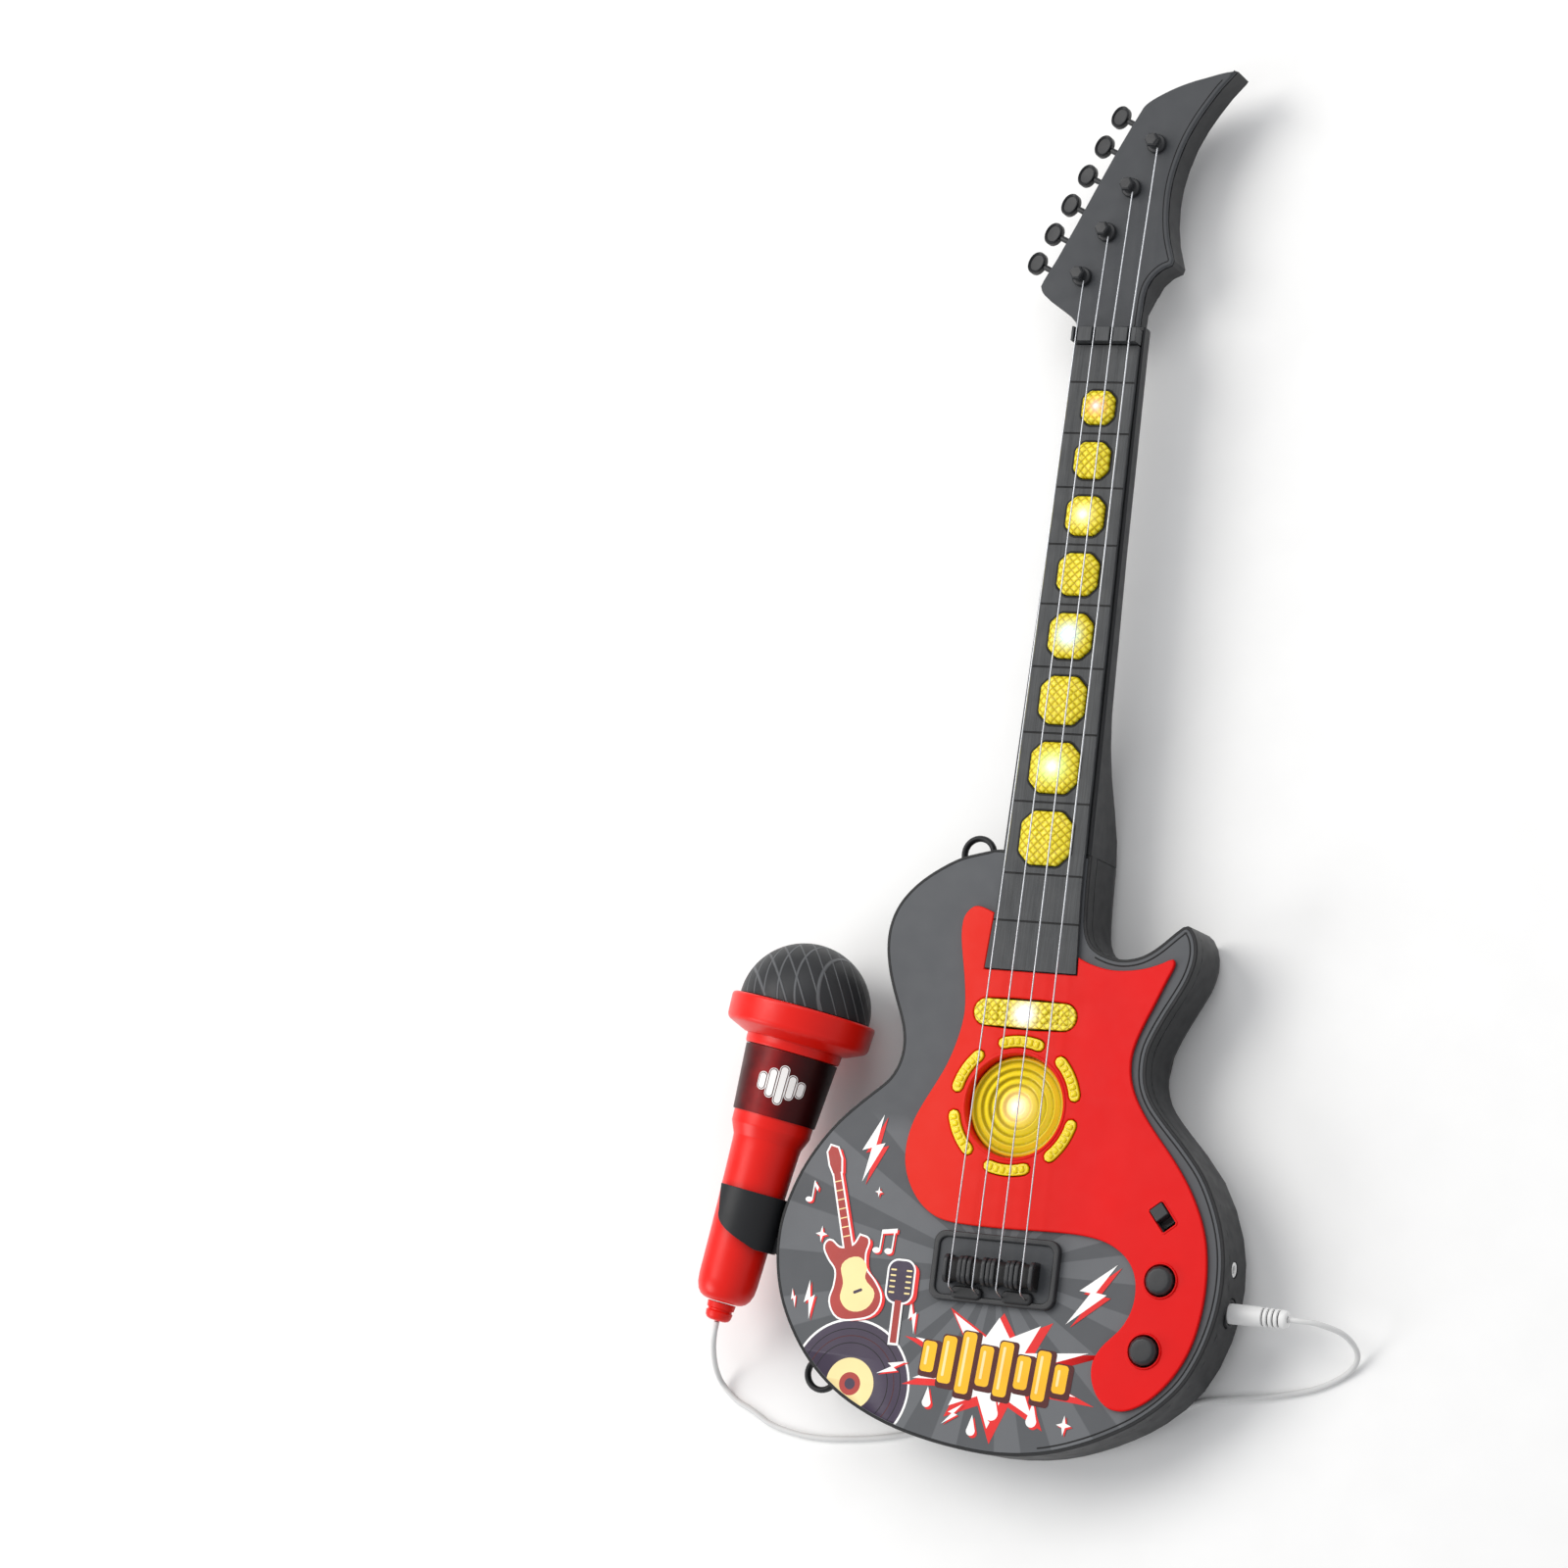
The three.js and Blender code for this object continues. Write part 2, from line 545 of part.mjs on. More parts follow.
// ---------------------------------------------------------------- red panel and light lenses
const PANEL = smoothLoop(
  [
    [-25, 83.5], [-29.5, 83.6], [-33.4, 79], [-33.6, 70], [-30.4, 55], [-28, 39], [-29.6, 26.5],
    [-33.6, 14], [-39.6, 2], [-44.6, -8.5], [-47, -19], [-46.4, -29], [-42.6, -38], [-36.4, -45.4],
    [-28, -50.2], [-15, -51.8], [10, -51.8], [34, -51.4], [48, -53.4], [57, -58.2], [62, -64.6],
    [63.8, -72.5], [62.8, -81], [58.8, -88.8], [52.6, -95.6], [49, -101.8], [48.6, -108.5], [51.8, -116.4],
    [57.8, -121.4], [65, -121.8], [74, -117.2], [83, -107.8], [89.4, -96.4], [93, -83], [94.2, -67.5],
    [92.6, -52],
    [89, -40.5], [82, -27.5], [73.4, -16.2], [62.5, -4], [55.4, 5.5], [51, 15], [50, 25], [52.4, 35],
    [57.2, 47], [62, 59], [64.2, 65], [63.2, 67], [59, 65.2], [53, 62.8], [46, 61.2], [36.5, 60.6],
    [27, 62.4], [21.4, 64.6],
  ],
  2,
);
const underBoard = prism(boardLoop(0.4, 57.2, 100, 3), 37, 42);
const panelHoles = [
  cylinder(0, 0, SOUND_R, 30, 45, 40),
  prism(barHole, 30, 45),
  prism(switchSlot, 30, 45),
  cylinder(MELODY.x, MELODY.y, MELODY.r + 0.5, 30, 45),
  cylinder(VOLUME.x, VOLUME.y, VOLUME.r + 0.5, 30, 45),
  underBoard,
];
function arcLoop(middle, extra) {
  const half = 21.5;
  const r = RING_W / 2 + extra;
  const tip = (at, turn) => {
    const a = THREE.MathUtils.degToRad(at);
    return arcPoints(RING_MID * Math.cos(a), RING_MID * Math.sin(a), r, turn, turn + 180, 4).slice(1, -1);
  };
  const trim = half - 4.4;
  return [
    ...arcPoints(0, 0, RING_MID + r, middle - trim, middle + trim, 6),
    ...tip(middle + trim, middle + trim),
    ...arcPoints(0, 0, RING_MID - r, middle + trim, middle - trim, 6),
    ...tip(middle - trim, middle - trim + 180),
  ];
}
const arcMiddles = Array.from({ length: 6 }, (_, i) => 30 + 60 * i);
const arcHoles = arcMiddles.map((a) => prism(arcLoop(a, GAP), 30, 45));
const collar = cylinder(0, 0, SOUND_R + 1.5, 33.6, 39, 40);
const panelPlate = loft([
  atHeight(PANEL, FACE_Z + 0.3),
  atHeight(PANEL, PANEL_TOP - 0.5),
  atHeight(inset(PANEL, () => 0.5), PANEL_TOP),
]).add(collar);
addPart("pickguard", cutAway(panelPlate, [...panelHoles, ...arcHoles]), RED);

const lensSteps = [
  [0, 31.4], [SOUND_R + 1.4, 31.4], [SOUND_R + 1.4, 33.2], [SOUND_R - 0.5, 33.2], [SOUND_R - 0.5, 35.6],
  [18.4, 36.2], [18.2, 35.2], [14.6, 35.6], [14.4, 34.8], [10.4, 35.2], [10.2, 34.4], [0, 34.8],
];
addPart("disc_lens", turned(lensSteps, 30), YELLOW);
const ringPlate = turned(
  [
    [SOUND_R + 1.9, 34.4], [RING_MID + RING_W / 2 + 0.5, 34.4], [RING_MID + RING_W / 2 + 0.5, FACE_Z - 0.1],
    [SOUND_R + 1.9, FACE_Z - 0.1], [SOUND_R + 1.9, 34.4],
  ],
  40,
);
const arcLenses = arcMiddles.map((a) =>
  loft([
    atHeight(arcLoop(a, 0), 37),
    atHeight(arcLoop(a, 0), PANEL_TOP + 0.2),
    atHeight(arcLoop(a, -0.8), PANEL_TOP + 0.9),
  ]),
);
addPart("arc_lens_ring", union([ringPlate, ...arcLenses]), YELLOW);
const barLoop = (shrink) =>
  roundedBox(BAR.x, BAR.y, BAR.length - shrink, BAR.width - shrink, BAR.width / 2 - shrink / 2 - 0.05, 6);
const barTop = loft([
  atHeight(barLoop(0), 34),
  atHeight(barLoop(0), PANEL_TOP + 0.4),
  atHeight(barLoop(2), PANEL_TOP + 1.3),
  atHeight(barLoop(6), PANEL_TOP + 1.7),
]);
addPart("bar_lens", barTop.add(prism(barLoop(-2.4), 33, 35.2)), YELLOW);

// ---------------------------------------------------------------- bridge
const bridgeLoop = (shrink, r = 5) =>
  roundedBox(BRIDGE.x, BRIDGE.y, BRIDGE.length - shrink, BRIDGE.width - shrink, r, 4);
const bridgePlate = loft([
  atHeight(bridgeLoop(0), FACE_Z + 0.3),
  atHeight(bridgeLoop(0), 40.6),
  atHeight(bridgeLoop(1), 41.3),
]).subtract(prism(bridgeLoop(5, 3.4), 40.1, 45));
const feet = [-11, 12].map((x) => prism(roundedBox(BRIDGE.x + x, -80.4, 14, 5, 2.4, 3), 39.5, 41.6));
addPart("bridge_plate", union([bridgePlate, ...feet]), GRAPHITE);
const saddleLoop = roundedBox(BRIDGE.x, SADDLE.y, SADDLE.length, SADDLE.width, 2, 2);
const saddleBlock = loft([
  atHeight(saddleLoop, 40.45),
  atHeight(saddleLoop, SADDLE.top - 2.4),
  atHeight(roundedBox(BRIDGE.x, SADDLE.y, SADDLE.length - 2, SADDLE.width - 4, 1.6, 2), SADDLE.top),
]);
const ribs = Array.from({ length: 3 }, (_, i) => {
  const x = BRIDGE.x + (i - 1) * BRIDGE_PITCH;
  return box(x - 1.1, x + 1.1, -90, -50, 44.6, 60);
});
addPart("bridge_saddle", cutAway(saddleBlock, ribs), GRAPHITE);

// ---------------------------------------------------------------- controls
function pushButton({ x, y, r }) {
  return turned(
    [[0, 33.2], [r + 1.6, 33.2], [r + 1.6, 35.1], [r, 35.1], [r, 42], [r - 1.4, 43.4], [0, 43.4]],
    20,
    x,
    y,
  );
}
addPart("melody_button", pushButton(MELODY), GRAPHITE);
addPart("volume_button", pushButton(VOLUME), GRAPHITE);

const slider = new THREE.Group();
slider.position.set(SWITCH.x, SWITCH.y, 0);
slider.rotation.z = THREE.MathUtils.degToRad(SWITCH.angle);
guitar.add(slider);
const knob = box(-5.4, 0.4, -3.1, 3.1, 34.6, 41);
addPart("power_switch", knob.add(box(-8.4, 3.4, -4.6, 4.6, 33.4, 35.1)), GRAPHITE, slider);

// ---------------------------------------------------------------- sockets, jack plug
const jackSocket = cylinderX(JACK.y, JACK.z, JACK.r + 1.7, 84, JACK.wall + 0.8)
  .subtract(cylinderX(JACK.y, JACK.z, JACK.r + GAP, 94.6, 110))
  .subtract(cylinderX(JACK.y, JACK.z, 2.15, 80.5, 110));
addPart("jack_socket", jackSocket, BLACK);
const auxSocket = cylinderX(AUX.y, AUX.z, AUX.r, 88, JACK.wall + 0.6).subtract(
  cylinderX(AUX.y, AUX.z, 1.85, 90, 110, 12),
);
addPart("aux_socket", auxSocket, WHITE);
const plugTurn = (profile) => {
  const geometry = new THREE.LatheGeometry(
    profile.map(([r, x]) => new THREE.Vector2(r, x)),
    20,
  );
  geometry.rotateZ(-Math.PI / 2);
  geometry.translate(0, JACK.y, JACK.z);
  return toSolid(geometry);
};
const gripGrooves = Array.from({ length: 4 }, (_, i) => {
  const x = 114.6 + 2.3 * i;
  const r = 4.15 - 0.08 * i;
  return [[r, x], [r - 0.6, x], [r - 0.6, x + 0.9], [r, x + 0.9]];
}).flat();
const plugProfile = [[0, 95], [4.3, 95], [4.3, 110], ...gripGrooves, [3.8, 124.6], [3, 125.4], [0, 125.4]];
addPart("jack_plug", plugTurn(plugProfile), WHITE);
const pinProfile = [
  [0, 85.4], [1, 85.4], [1.7, 86.6], [1.2, 88], [1.75, 89], [1.75, 94.6], [0, 94.6],
];
addPart("jack_pin", plugTurn(pinProfile), STEEL);

// ---------------------------------------------------------------- strap loops
const bodyRoom = prism(inset(BODY, () => -GAP), 10, 40);

// A flat arch with its two feet against the rim.
function strapLoop({ x, y, outward }) {
  const straight = STRAP.reach - STRAP.half;
  const arch = (r) => [[-6, -r], ...arcPoints(straight, 0, r, -90, 90, 10), [-6, r]];
  const block = (r, z0, z1) => prism(turnLoop(arch(r), x, y, outward), z0, z1);
  const opening = block(STRAP.half - STRAP.bar, STRAP.bottom - 5, STRAP.top + 5);
  return cutAway(block(STRAP.half, STRAP.bottom, STRAP.top), [opening, bodyRoom]);
}
addPart("strap_loop_upper", strapLoop(STRAP_UPPER), BLACK);
addPart("strap_loop_lower", strapLoop(STRAP_LOWER), BLACK);

// ---------------------------------------------------------------- microphone, along its own +Y axis
const mic = new THREE.Group();
mic.position.set(MIC.x, MIC.y, MIC.z);
mic.rotation.z = THREE.MathUtils.degToRad(-MIC.lean);
guitar.add(mic);
function lathed(profile, sides = 22) {
  const geometry = new THREE.LatheGeometry(
    profile.map(([r, v]) => new THREE.Vector2(r, v)),
    sides,
  );
  return toSolid(geometry);
}
function arcProfile(cy, r, from, to, steps) {
  return arcPoints(0, cy, r, from, to, steps).map(([u, v]) => [Math.max(u, 0), v]);
}
const DOME_V = 93.2; // middle of the ball of the grille
const grilleShell = [...arcProfile(DOME_V, 29, 0.8, 90, 7), ...arcProfile(DOME_V, 26.6, 90, 0.86, 6)];
addPart("mic_grille", lathed([...grilleShell, grilleShell[0]]), GRAPHITE, mic);
const collarProfile = [
  [21.5, 77.6], [22.6, 77.6], [30.6, 81.4], [31.8, 83], [32, 91.6], [30.6, 93.2], [21.5, 93.2], [21.5, 77.6],
];
addPart("mic_collar", lathed(collarProfile), RED, mic);
const capsuleProfile = [[0, 60], [8, 60], [11.2, 64], [11.2, 82.2], [14, 82.4], [14, 96], [0, 98]];
addPart("mic_capsule", lathed(capsuleProfile, 16), STEEL, mic);
addPart(
  "mic_handle",
  lathed([
    [0, -37.6], [7.4, -37.6], [11, -35.6], [12.9, -31], [14.2, 12], [14.9, 31], [16.2, 39], [17.5, 43.4],
    [17.5, 73.4], [20.6, 74], [21.1, 77], [21.1, 81.6], [11.6, 81.6], [11.6, -30], [0, -30],
  ]),
  RED, mic,
);
const labelProfile = [[17.9, 44.4], [18.3, 44.4], [20.6, 72.9], [17.9, 72.9], [17.9, 44.4]];
addPart("mic_label", lathed(labelProfile), MAROON, mic);
const bootProfile = [[0, -46], [3.8, -46], [5.7, -44.4], [6.2, -38], [0, -38]];
addPart("mic_boot", lathed(bootProfile, 14), RED, mic);

// The clip: a springy sleeve round the handle, open away from the body, with a bracket to the rim.
const clipShape = [
  ...arcPoints(0, 0, CLIP.outer, CLIP.lower, CLIP.upper, 20),
  ...arcPoints(0, 0, CLIP.inner, CLIP.upper, CLIP.lower, 20),
];
mic.updateMatrix();
const sleeve = toGeometry(prism(clipShape, CLIP.from, CLIP.to));
const standUp = new THREE.Matrix4().set(1, 0, 0, 0, 0, 0, 1, 0, 0, 1, 0, 0, 0, 0, 0, 1);
sleeve.applyMatrix4(standUp.premultiply(mic.matrix));
sleeve.setIndex([...sleeve.index.array].reverse());
const clipBore = new THREE.CylinderGeometry(CLIP.inner, CLIP.inner, 60, 40).applyMatrix4(mic.matrix);
const bracket = cutAway(box(-106.8, -96, -67, -48.4, 20, 33), [bodyRoom, toSolid(clipBore)]);
addPart("mic_clip", toSolid(sleeve).add(bracket), BLACK);

// ---------------------------------------------------------------- microphone lead
// Out of the boot, down to the surface, round under the drawn-in tail edge and up to the plug.
const LEAD = [
  [-128.15, -103.45, 33], [-129.2, -108.5, 31.6], [-131.4, -113.4, 26.4], [-134, -118, 19],
  [-136.2, -122.5, 11], [-136.4, -127, 5], [-134.1, -130.7, 2.2], [-129, -135, 1.3], [-120.3, -138.9, 1.3],
  [-112.5, -143, 1.3], [-104.6, -145.2, 1.3], [-94.3, -146.7, 1.3], [-84.2, -146.8, 1.3],
  [-74.4, -145.9, 1.3], [-63.8, -144.5, 1.3], [-53.3, -142.4, 1.3], [-42, -139.6, 1.3],
  [-30, -137.6, 1.3], [-18, -137, 1.3],
  [-2, -139.4, 1.3], [14, -140, 1.3], [29, -138, 1.3], [43.4, -133.6, 1.3], [57, -127.4, 1.3],
  [70, -119.8, 1.3], [84, -113, 1.3], [99, -110, 1.3], [116.5, -107, 1.3], [134, -102, 1.3],
  [146.4, -94.6, 1.8], [151.2, -87, 5.6], [147.6, -80, 13.6], [138.4, -76.8, 20.6], [130.4, -76.4, 23],
  [125.75, -76.4, 23],
];
const leadCurve = new THREE.CatmullRomCurve3(LEAD.map((p) => new THREE.Vector3(...p)));
const leadCircle = arcPoints(0, 0, CORD_R, 0, 315, 7).map(([x, y]) => new THREE.Vector2(x, y));
const lead = new THREE.ExtrudeGeometry(new THREE.Shape(leadCircle), {
  steps: 68,
  bevelEnabled: false,
  extrudePath: leadCurve,
});
addPart("mic_lead", toSolid(lead), WHITE);

export default guitar;
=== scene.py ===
import json
import math

import bmesh
import bpy
from mathutils import Matrix, Vector, geometry


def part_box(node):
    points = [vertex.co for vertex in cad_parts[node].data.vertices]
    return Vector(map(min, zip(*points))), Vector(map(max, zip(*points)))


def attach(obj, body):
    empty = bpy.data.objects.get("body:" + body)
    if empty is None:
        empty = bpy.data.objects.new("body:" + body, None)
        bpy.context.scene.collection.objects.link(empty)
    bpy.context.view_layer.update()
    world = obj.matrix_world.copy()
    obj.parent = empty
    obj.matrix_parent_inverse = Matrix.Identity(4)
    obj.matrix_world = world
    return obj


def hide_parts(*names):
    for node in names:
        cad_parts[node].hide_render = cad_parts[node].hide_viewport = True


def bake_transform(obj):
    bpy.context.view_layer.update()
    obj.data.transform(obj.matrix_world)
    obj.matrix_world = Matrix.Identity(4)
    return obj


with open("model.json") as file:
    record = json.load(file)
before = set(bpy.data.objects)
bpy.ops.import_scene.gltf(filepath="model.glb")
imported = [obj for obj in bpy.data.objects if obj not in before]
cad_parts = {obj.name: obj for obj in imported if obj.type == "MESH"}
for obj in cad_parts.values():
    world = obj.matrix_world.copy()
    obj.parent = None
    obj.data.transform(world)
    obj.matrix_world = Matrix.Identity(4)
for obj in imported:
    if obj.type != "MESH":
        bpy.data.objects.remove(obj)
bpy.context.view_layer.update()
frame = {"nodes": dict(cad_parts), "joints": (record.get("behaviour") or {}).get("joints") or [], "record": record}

# Shapes are given in millimetres and become metres where a mesh is made. The camera and the lights are in
# metres, and so are the offsets that printed_face, panel_red and label_print compare.
MM = 0.001
FACE_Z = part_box("front_casing")[1].z / MM
PANEL_Z = 40.0
BOARD_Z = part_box("fingerboard")[1].z / MM
HEAD_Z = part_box("head_cover")[1].z / MM
SEAM_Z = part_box("front_casing")[0].z / MM
CORD_R = 1.2
FACE_WALL = 2.4
KEYS = 8
FIRST_FRET, LAST_GROOVE = 315.0, 78.5
STRINGS = 4
TUNERS = 6
TUNER_STEP = (6.2, 13.32)
MIC_MIDDLE = Vector((-120.7, -57.7, 33.0))
JACK_Y, JACK_Z = -76.4, 23.0
PRINT_Z = FACE_Z + 0.05
MESH_START = 93.2
# The headstock's groove stays to the right of this, and the body's to the right and below.
HEAD_LINE_X = 8.0
EDGE_LINE_X, EDGE_LINE_Y = 27.0, 150.0
# Heights at which outlines are taken from CAD nodes.
CASING_CUT, PANEL_CUT, KEY_CUT, RIM_CUT = 36.5, 39.2, 39.0, 20.0
# Points of the CAD closer than the first, or of a turned shape closer than the second, are one point.
CAD_WELD, TURNED_WELD = 0.002, 0.001
STRING_R, CAD_STRING_R = 0.34, 0.55
DOME_START = 93.6
LAYER_STEP, LAYER_HALF = 0.004, 0.02
WHITE = (1, 1, 1)


def middle(node):
    low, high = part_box(node)
    return (low + high) / 2 / MM


# ---------------------------------------------------------------- camera, floor, light
CAMERA_AT = Vector((0.77687, -0.18457, 1.91265))
CAMERA_RIGHT = Vector((0.901573, 0.128422, -0.413128))
CAMERA_UP = Vector((-0.052234, 0.980253, 0.190724))
CAMERA_LENS = 110.48


def make_camera():
    camera = bpy.data.objects.new("photo_camera", bpy.data.cameras.new("photo_camera"))
    bpy.context.scene.collection.objects.link(camera)
    camera.data.lens = CAMERA_LENS
    camera.data.sensor_width = 36.0
    camera.data.clip_start, camera.data.clip_end = 0.05, 20.0
    backwards = CAMERA_RIGHT.cross(CAMERA_UP)
    axes = Matrix((CAMERA_RIGHT, CAMERA_UP, backwards)).transposed().to_4x4()
    camera.matrix_world = Matrix.Translation(CAMERA_AT) @ axes
    bpy.context.scene.camera = camera


def area_light(name, at, towards, size, watts, colour=WHITE):
    data = bpy.data.lights.new(name, "AREA")
    data.shape = "DISK"
    data.size, data.energy, data.color = size, watts, colour
    lamp = bpy.data.objects.new(name, data)
    bpy.context.scene.collection.objects.link(lamp)
    lamp.location = at
    lamp.rotation_mode = "QUATERNION"
    lamp.rotation_quaternion = (Vector(towards) - Vector(at)).to_track_quat("-Z", "Y")


def make_studio():
    world = bpy.data.worlds.new("studio")
    world.use_nodes = True
    world.node_tree.nodes["Background"].inputs["Color"].default_value = (0.96, 0.97, 1.0, 1)
    world.node_tree.nodes["Background"].inputs["Strength"].default_value = 0.55
    bpy.context.scene.world = world
    bpy.context.scene.view_settings.view_transform = "Standard"
    area_light("key_light", (-1.2, 0.6, 1.8), (0, 0.1, 0), 1.5, 25, (1, 0.98, 0.95))
    area_light("top_light", (0.2, 1.6, 1.7), (0, 0.15, 0), 1.5, 11)
    area_light("low_light", (-1.2, -0.7, 0.8), (-0.1, 0, 0.02), 0.8, 7)


# ---------------------------------------------------------------- materials
class Nodes:
    """A small helper that adds shader nodes to one material and wires them."""

    def __init__(self, name):
        self.material = bpy.data.materials.new(name)
        self.material.use_nodes = True
        self.tree = self.material.node_tree
        self.shader = self.tree.nodes["Principled BSDF"]
        self.place = self.add("ShaderNodeTexCoord").outputs["Object"]

    def add(self, kind, **values):
        node = self.tree.nodes.new(kind)
        for key, value in values.items():
            setattr(node, key, value)
        return node

    def wire(self, output, socket):
        self.tree.links.new(output, socket)

    def vector(self, operation, source, constant, output=0):
        """A vector operation between a wired vector and a fixed one."""
        node = self.add("ShaderNodeVectorMath", operation=operation)
        self.wire(source, node.inputs[0])
        node.inputs[1].default_value = constant
        return node.outputs[output]

    def parts(self, source):
        node = self.add("ShaderNodeSeparateXYZ")
        self.wire(source, node.inputs[0])
        return node.outputs

    def distance(self, centre):
        """The distance in metres from a place given in millimetres."""
        return self.vector("DISTANCE", self.place, Vector(centre) * MM, "Value")

    def ripples(self, centre, pitch):
        """Waves round a place, both given in millimetres."""
        return self.math("SINE", self.math("MULTIPLY", self.distance(centre), 2 * math.pi / (pitch * MM)))

    def noise(self, scale, detail=2.0, stretch=(1, 1, 1)):
        texture = self.add("ShaderNodeTexNoise")
        self.wire(self.vector("MULTIPLY", self.place, stretch), texture.inputs["Vector"])
        texture.inputs["Scale"].default_value = scale
        texture.inputs["Detail"].default_value = detail
        return texture.outputs["Fac"]

    def ramp(self, factor, stops):
        node = self.add("ShaderNodeValToRGB")
        self.wire(factor, node.inputs["Fac"])
        elements = node.color_ramp.elements
        while len(elements) < len(stops):
            elements.new(0.5)
        for element, (position, colour) in zip(elements, stops):
            element.position = position
            element.color = (*colour, 1)
        return node.outputs["Color"]

    def math(self, operation, first, second=None, third=None):
        node = self.add("ShaderNodeMath", operation=operation)
        for socket, value in zip(node.inputs, (first, second, third)):
            if value is None:
                continue
            if isinstance(value, (int, float)):
                socket.default_value = value
            else:
                self.wire(value, socket)
        return node.outputs[0]

    def span(self, value, low, high, to_low=0.0, to_high=1.0):
        node = self.add("ShaderNodeMapRange")
        self.wire(value, node.inputs["Value"])
        for key, number in (("From Min", low), ("From Max", high), ("To Min", to_low), ("To Max", to_high)):
            node.inputs[key].default_value = number
        return node.outputs["Result"]

    def mix(self, factor, first, second):
        node = self.add("ShaderNodeMix", data_type="RGBA")
        self.wire(factor, node.inputs["Factor"])
        for socket, value in ((node.inputs["A"], first), (node.inputs["B"], second)):
            if isinstance(value, tuple):
                socket.default_value = (*value, 1)
            else:
                self.wire(value, socket)
        return node.outputs["Result"]

    def bump(self, height, distance, strength=0.5):
        node = self.add("ShaderNodeBump")
        node.inputs["Strength"].default_value = strength
        node.inputs["Distance"].default_value = distance * MM
        self.wire(height, node.inputs["Height"])
        self.wire(node.outputs["Normal"], self.shader.inputs["Normal"])

    def paint(self, output):
        self.wire(output, self.shader.inputs["Base Color"])

    def tint(self, factor, colour):
        """Mixes a colour over what the base colour shows so far."""
        base = self.shader.inputs["Base Color"].links[0].from_socket
        self.paint(self.mix(factor, base, colour))

    def set(self, **values):
        """Sets the shader's own sockets; a name's underscores stand for spaces."""
        for name, value in values.items():
            self.shader.inputs[name.replace("_", " ")].default_value = value


def srgb(code):
    """A linear colour from a hexadecimal display colour."""
    parts = [int(code[i:i + 2], 16) / 255 for i in (0, 2, 4)]
    return tuple(c / 12.92 if c <= 0.04045 else ((c + 0.055) / 1.055) ** 2.4 for c in parts)


def shade(colour, factor):
    return tuple(min(1.0, c * factor) for c in colour)


def plastic(name, code, roughness, grain=0.03, spread=0.05, coat=0.0, scale=900.0, stretch=(1, 1, 1),
            shine=0.35):
    """Moulded plastic: slow colour drift, uneven gloss and a fine moulded texture."""
    look = Nodes(name)
    colour = srgb(code)
    drift = look.noise(38.0, 3.0)
    look.paint(look.ramp(drift, [(0.3, shade(colour, 1 - spread)), (0.7, shade(colour, 1 + spread))]))
    gloss = look.noise(140.0, 2.0)
    rough = look.span(gloss, 0.3, 0.7, roughness - 0.04, roughness + 0.05)
    look.wire(rough, look.shader.inputs["Roughness"])
    look.bump(look.noise(scale, 4.0, stretch), grain)
    look.set(Specular_IOR_Level=shine, Coat_Weight=coat, Coat_Roughness=0.12)
    return look


def printed_face(name):
    """The body's satin face, with pale rays that spread from the bridge over the lower bout."""
    look = plastic(name, "55575a", 0.5, grain=0.02, spread=0.02, shine=0.25)
    offset = look.parts(look.vector("SUBTRACT", look.place, middle("bridge_plate") * MM))
    turn = look.math("ARCTAN2", offset["Y"], offset["X"])
    rays = look.math("SINE", look.math("MULTIPLY", turn, 17.0))
    uneven = look.math("SINE", look.math("MULTIPLY", turn, 5.0))
    rays = look.span(look.math("MULTIPLY_ADD", uneven, 0.45, rays), -0.06, 0.06)
    # The rays end above the waist and along the right edge; both distances are from the bridge.
    rays = look.math("MULTIPLY", rays, look.span(offset["Y"], 0.062, 0.054))
    rays = look.math("MULTIPLY", rays, look.span(offset["X"], 0.066, 0.062))
    look.tint(rays, srgb("67696c"))
    return look


def panel_red(name):
    """Glossy red with a painted highlight: lighter and warmer towards the left, where the key light falls."""
    look = plastic(name, "dc0a0a", 0.4, grain=0.008, spread=0.03, scale=300.0, shine=0.16)
    # Painted highlight: lighter, warmer red towards the body's left side, where the key light falls.
    look.tint(look.span(look.parts(look.place)["X"], 0.035, -0.035), srgb("de2413"))
    return look


def grille_print(name):
    """A dark dome with two families of fine curved lines, as a pressed mesh has."""
    look = plastic(name, "2c2d2f", 0.46, grain=0.02)
    crown = mic_place() @ Vector((0, MESH_START, 0))
    lines = [look.span(look.ripples(crown + Vector(offset), 5.2), 0.86, 1.0)
             for offset in ((-38, -6, -8), (30, 14, -16))]
    grid = look.math("MAXIMUM", *lines)
    look.tint(look.math("MULTIPLY", grid, 0.55), srgb("77797c"))
    look.bump(grid, 0.35, 0.9)
    return look


def brushed(name, code, roughness):
    """Slate plastic with fine marks along the neck."""
    along = (40, 1, 1)
    look = plastic(name, code, roughness, grain=0.05, scale=60.0, stretch=along)
    colour = srgb(code)
    marks = look.noise(60.0, 5.0, along)
    look.paint(look.ramp(marks, [(0.35, shade(colour, 0.78)), (0.65, shade(colour, 1.22))]))
    return look


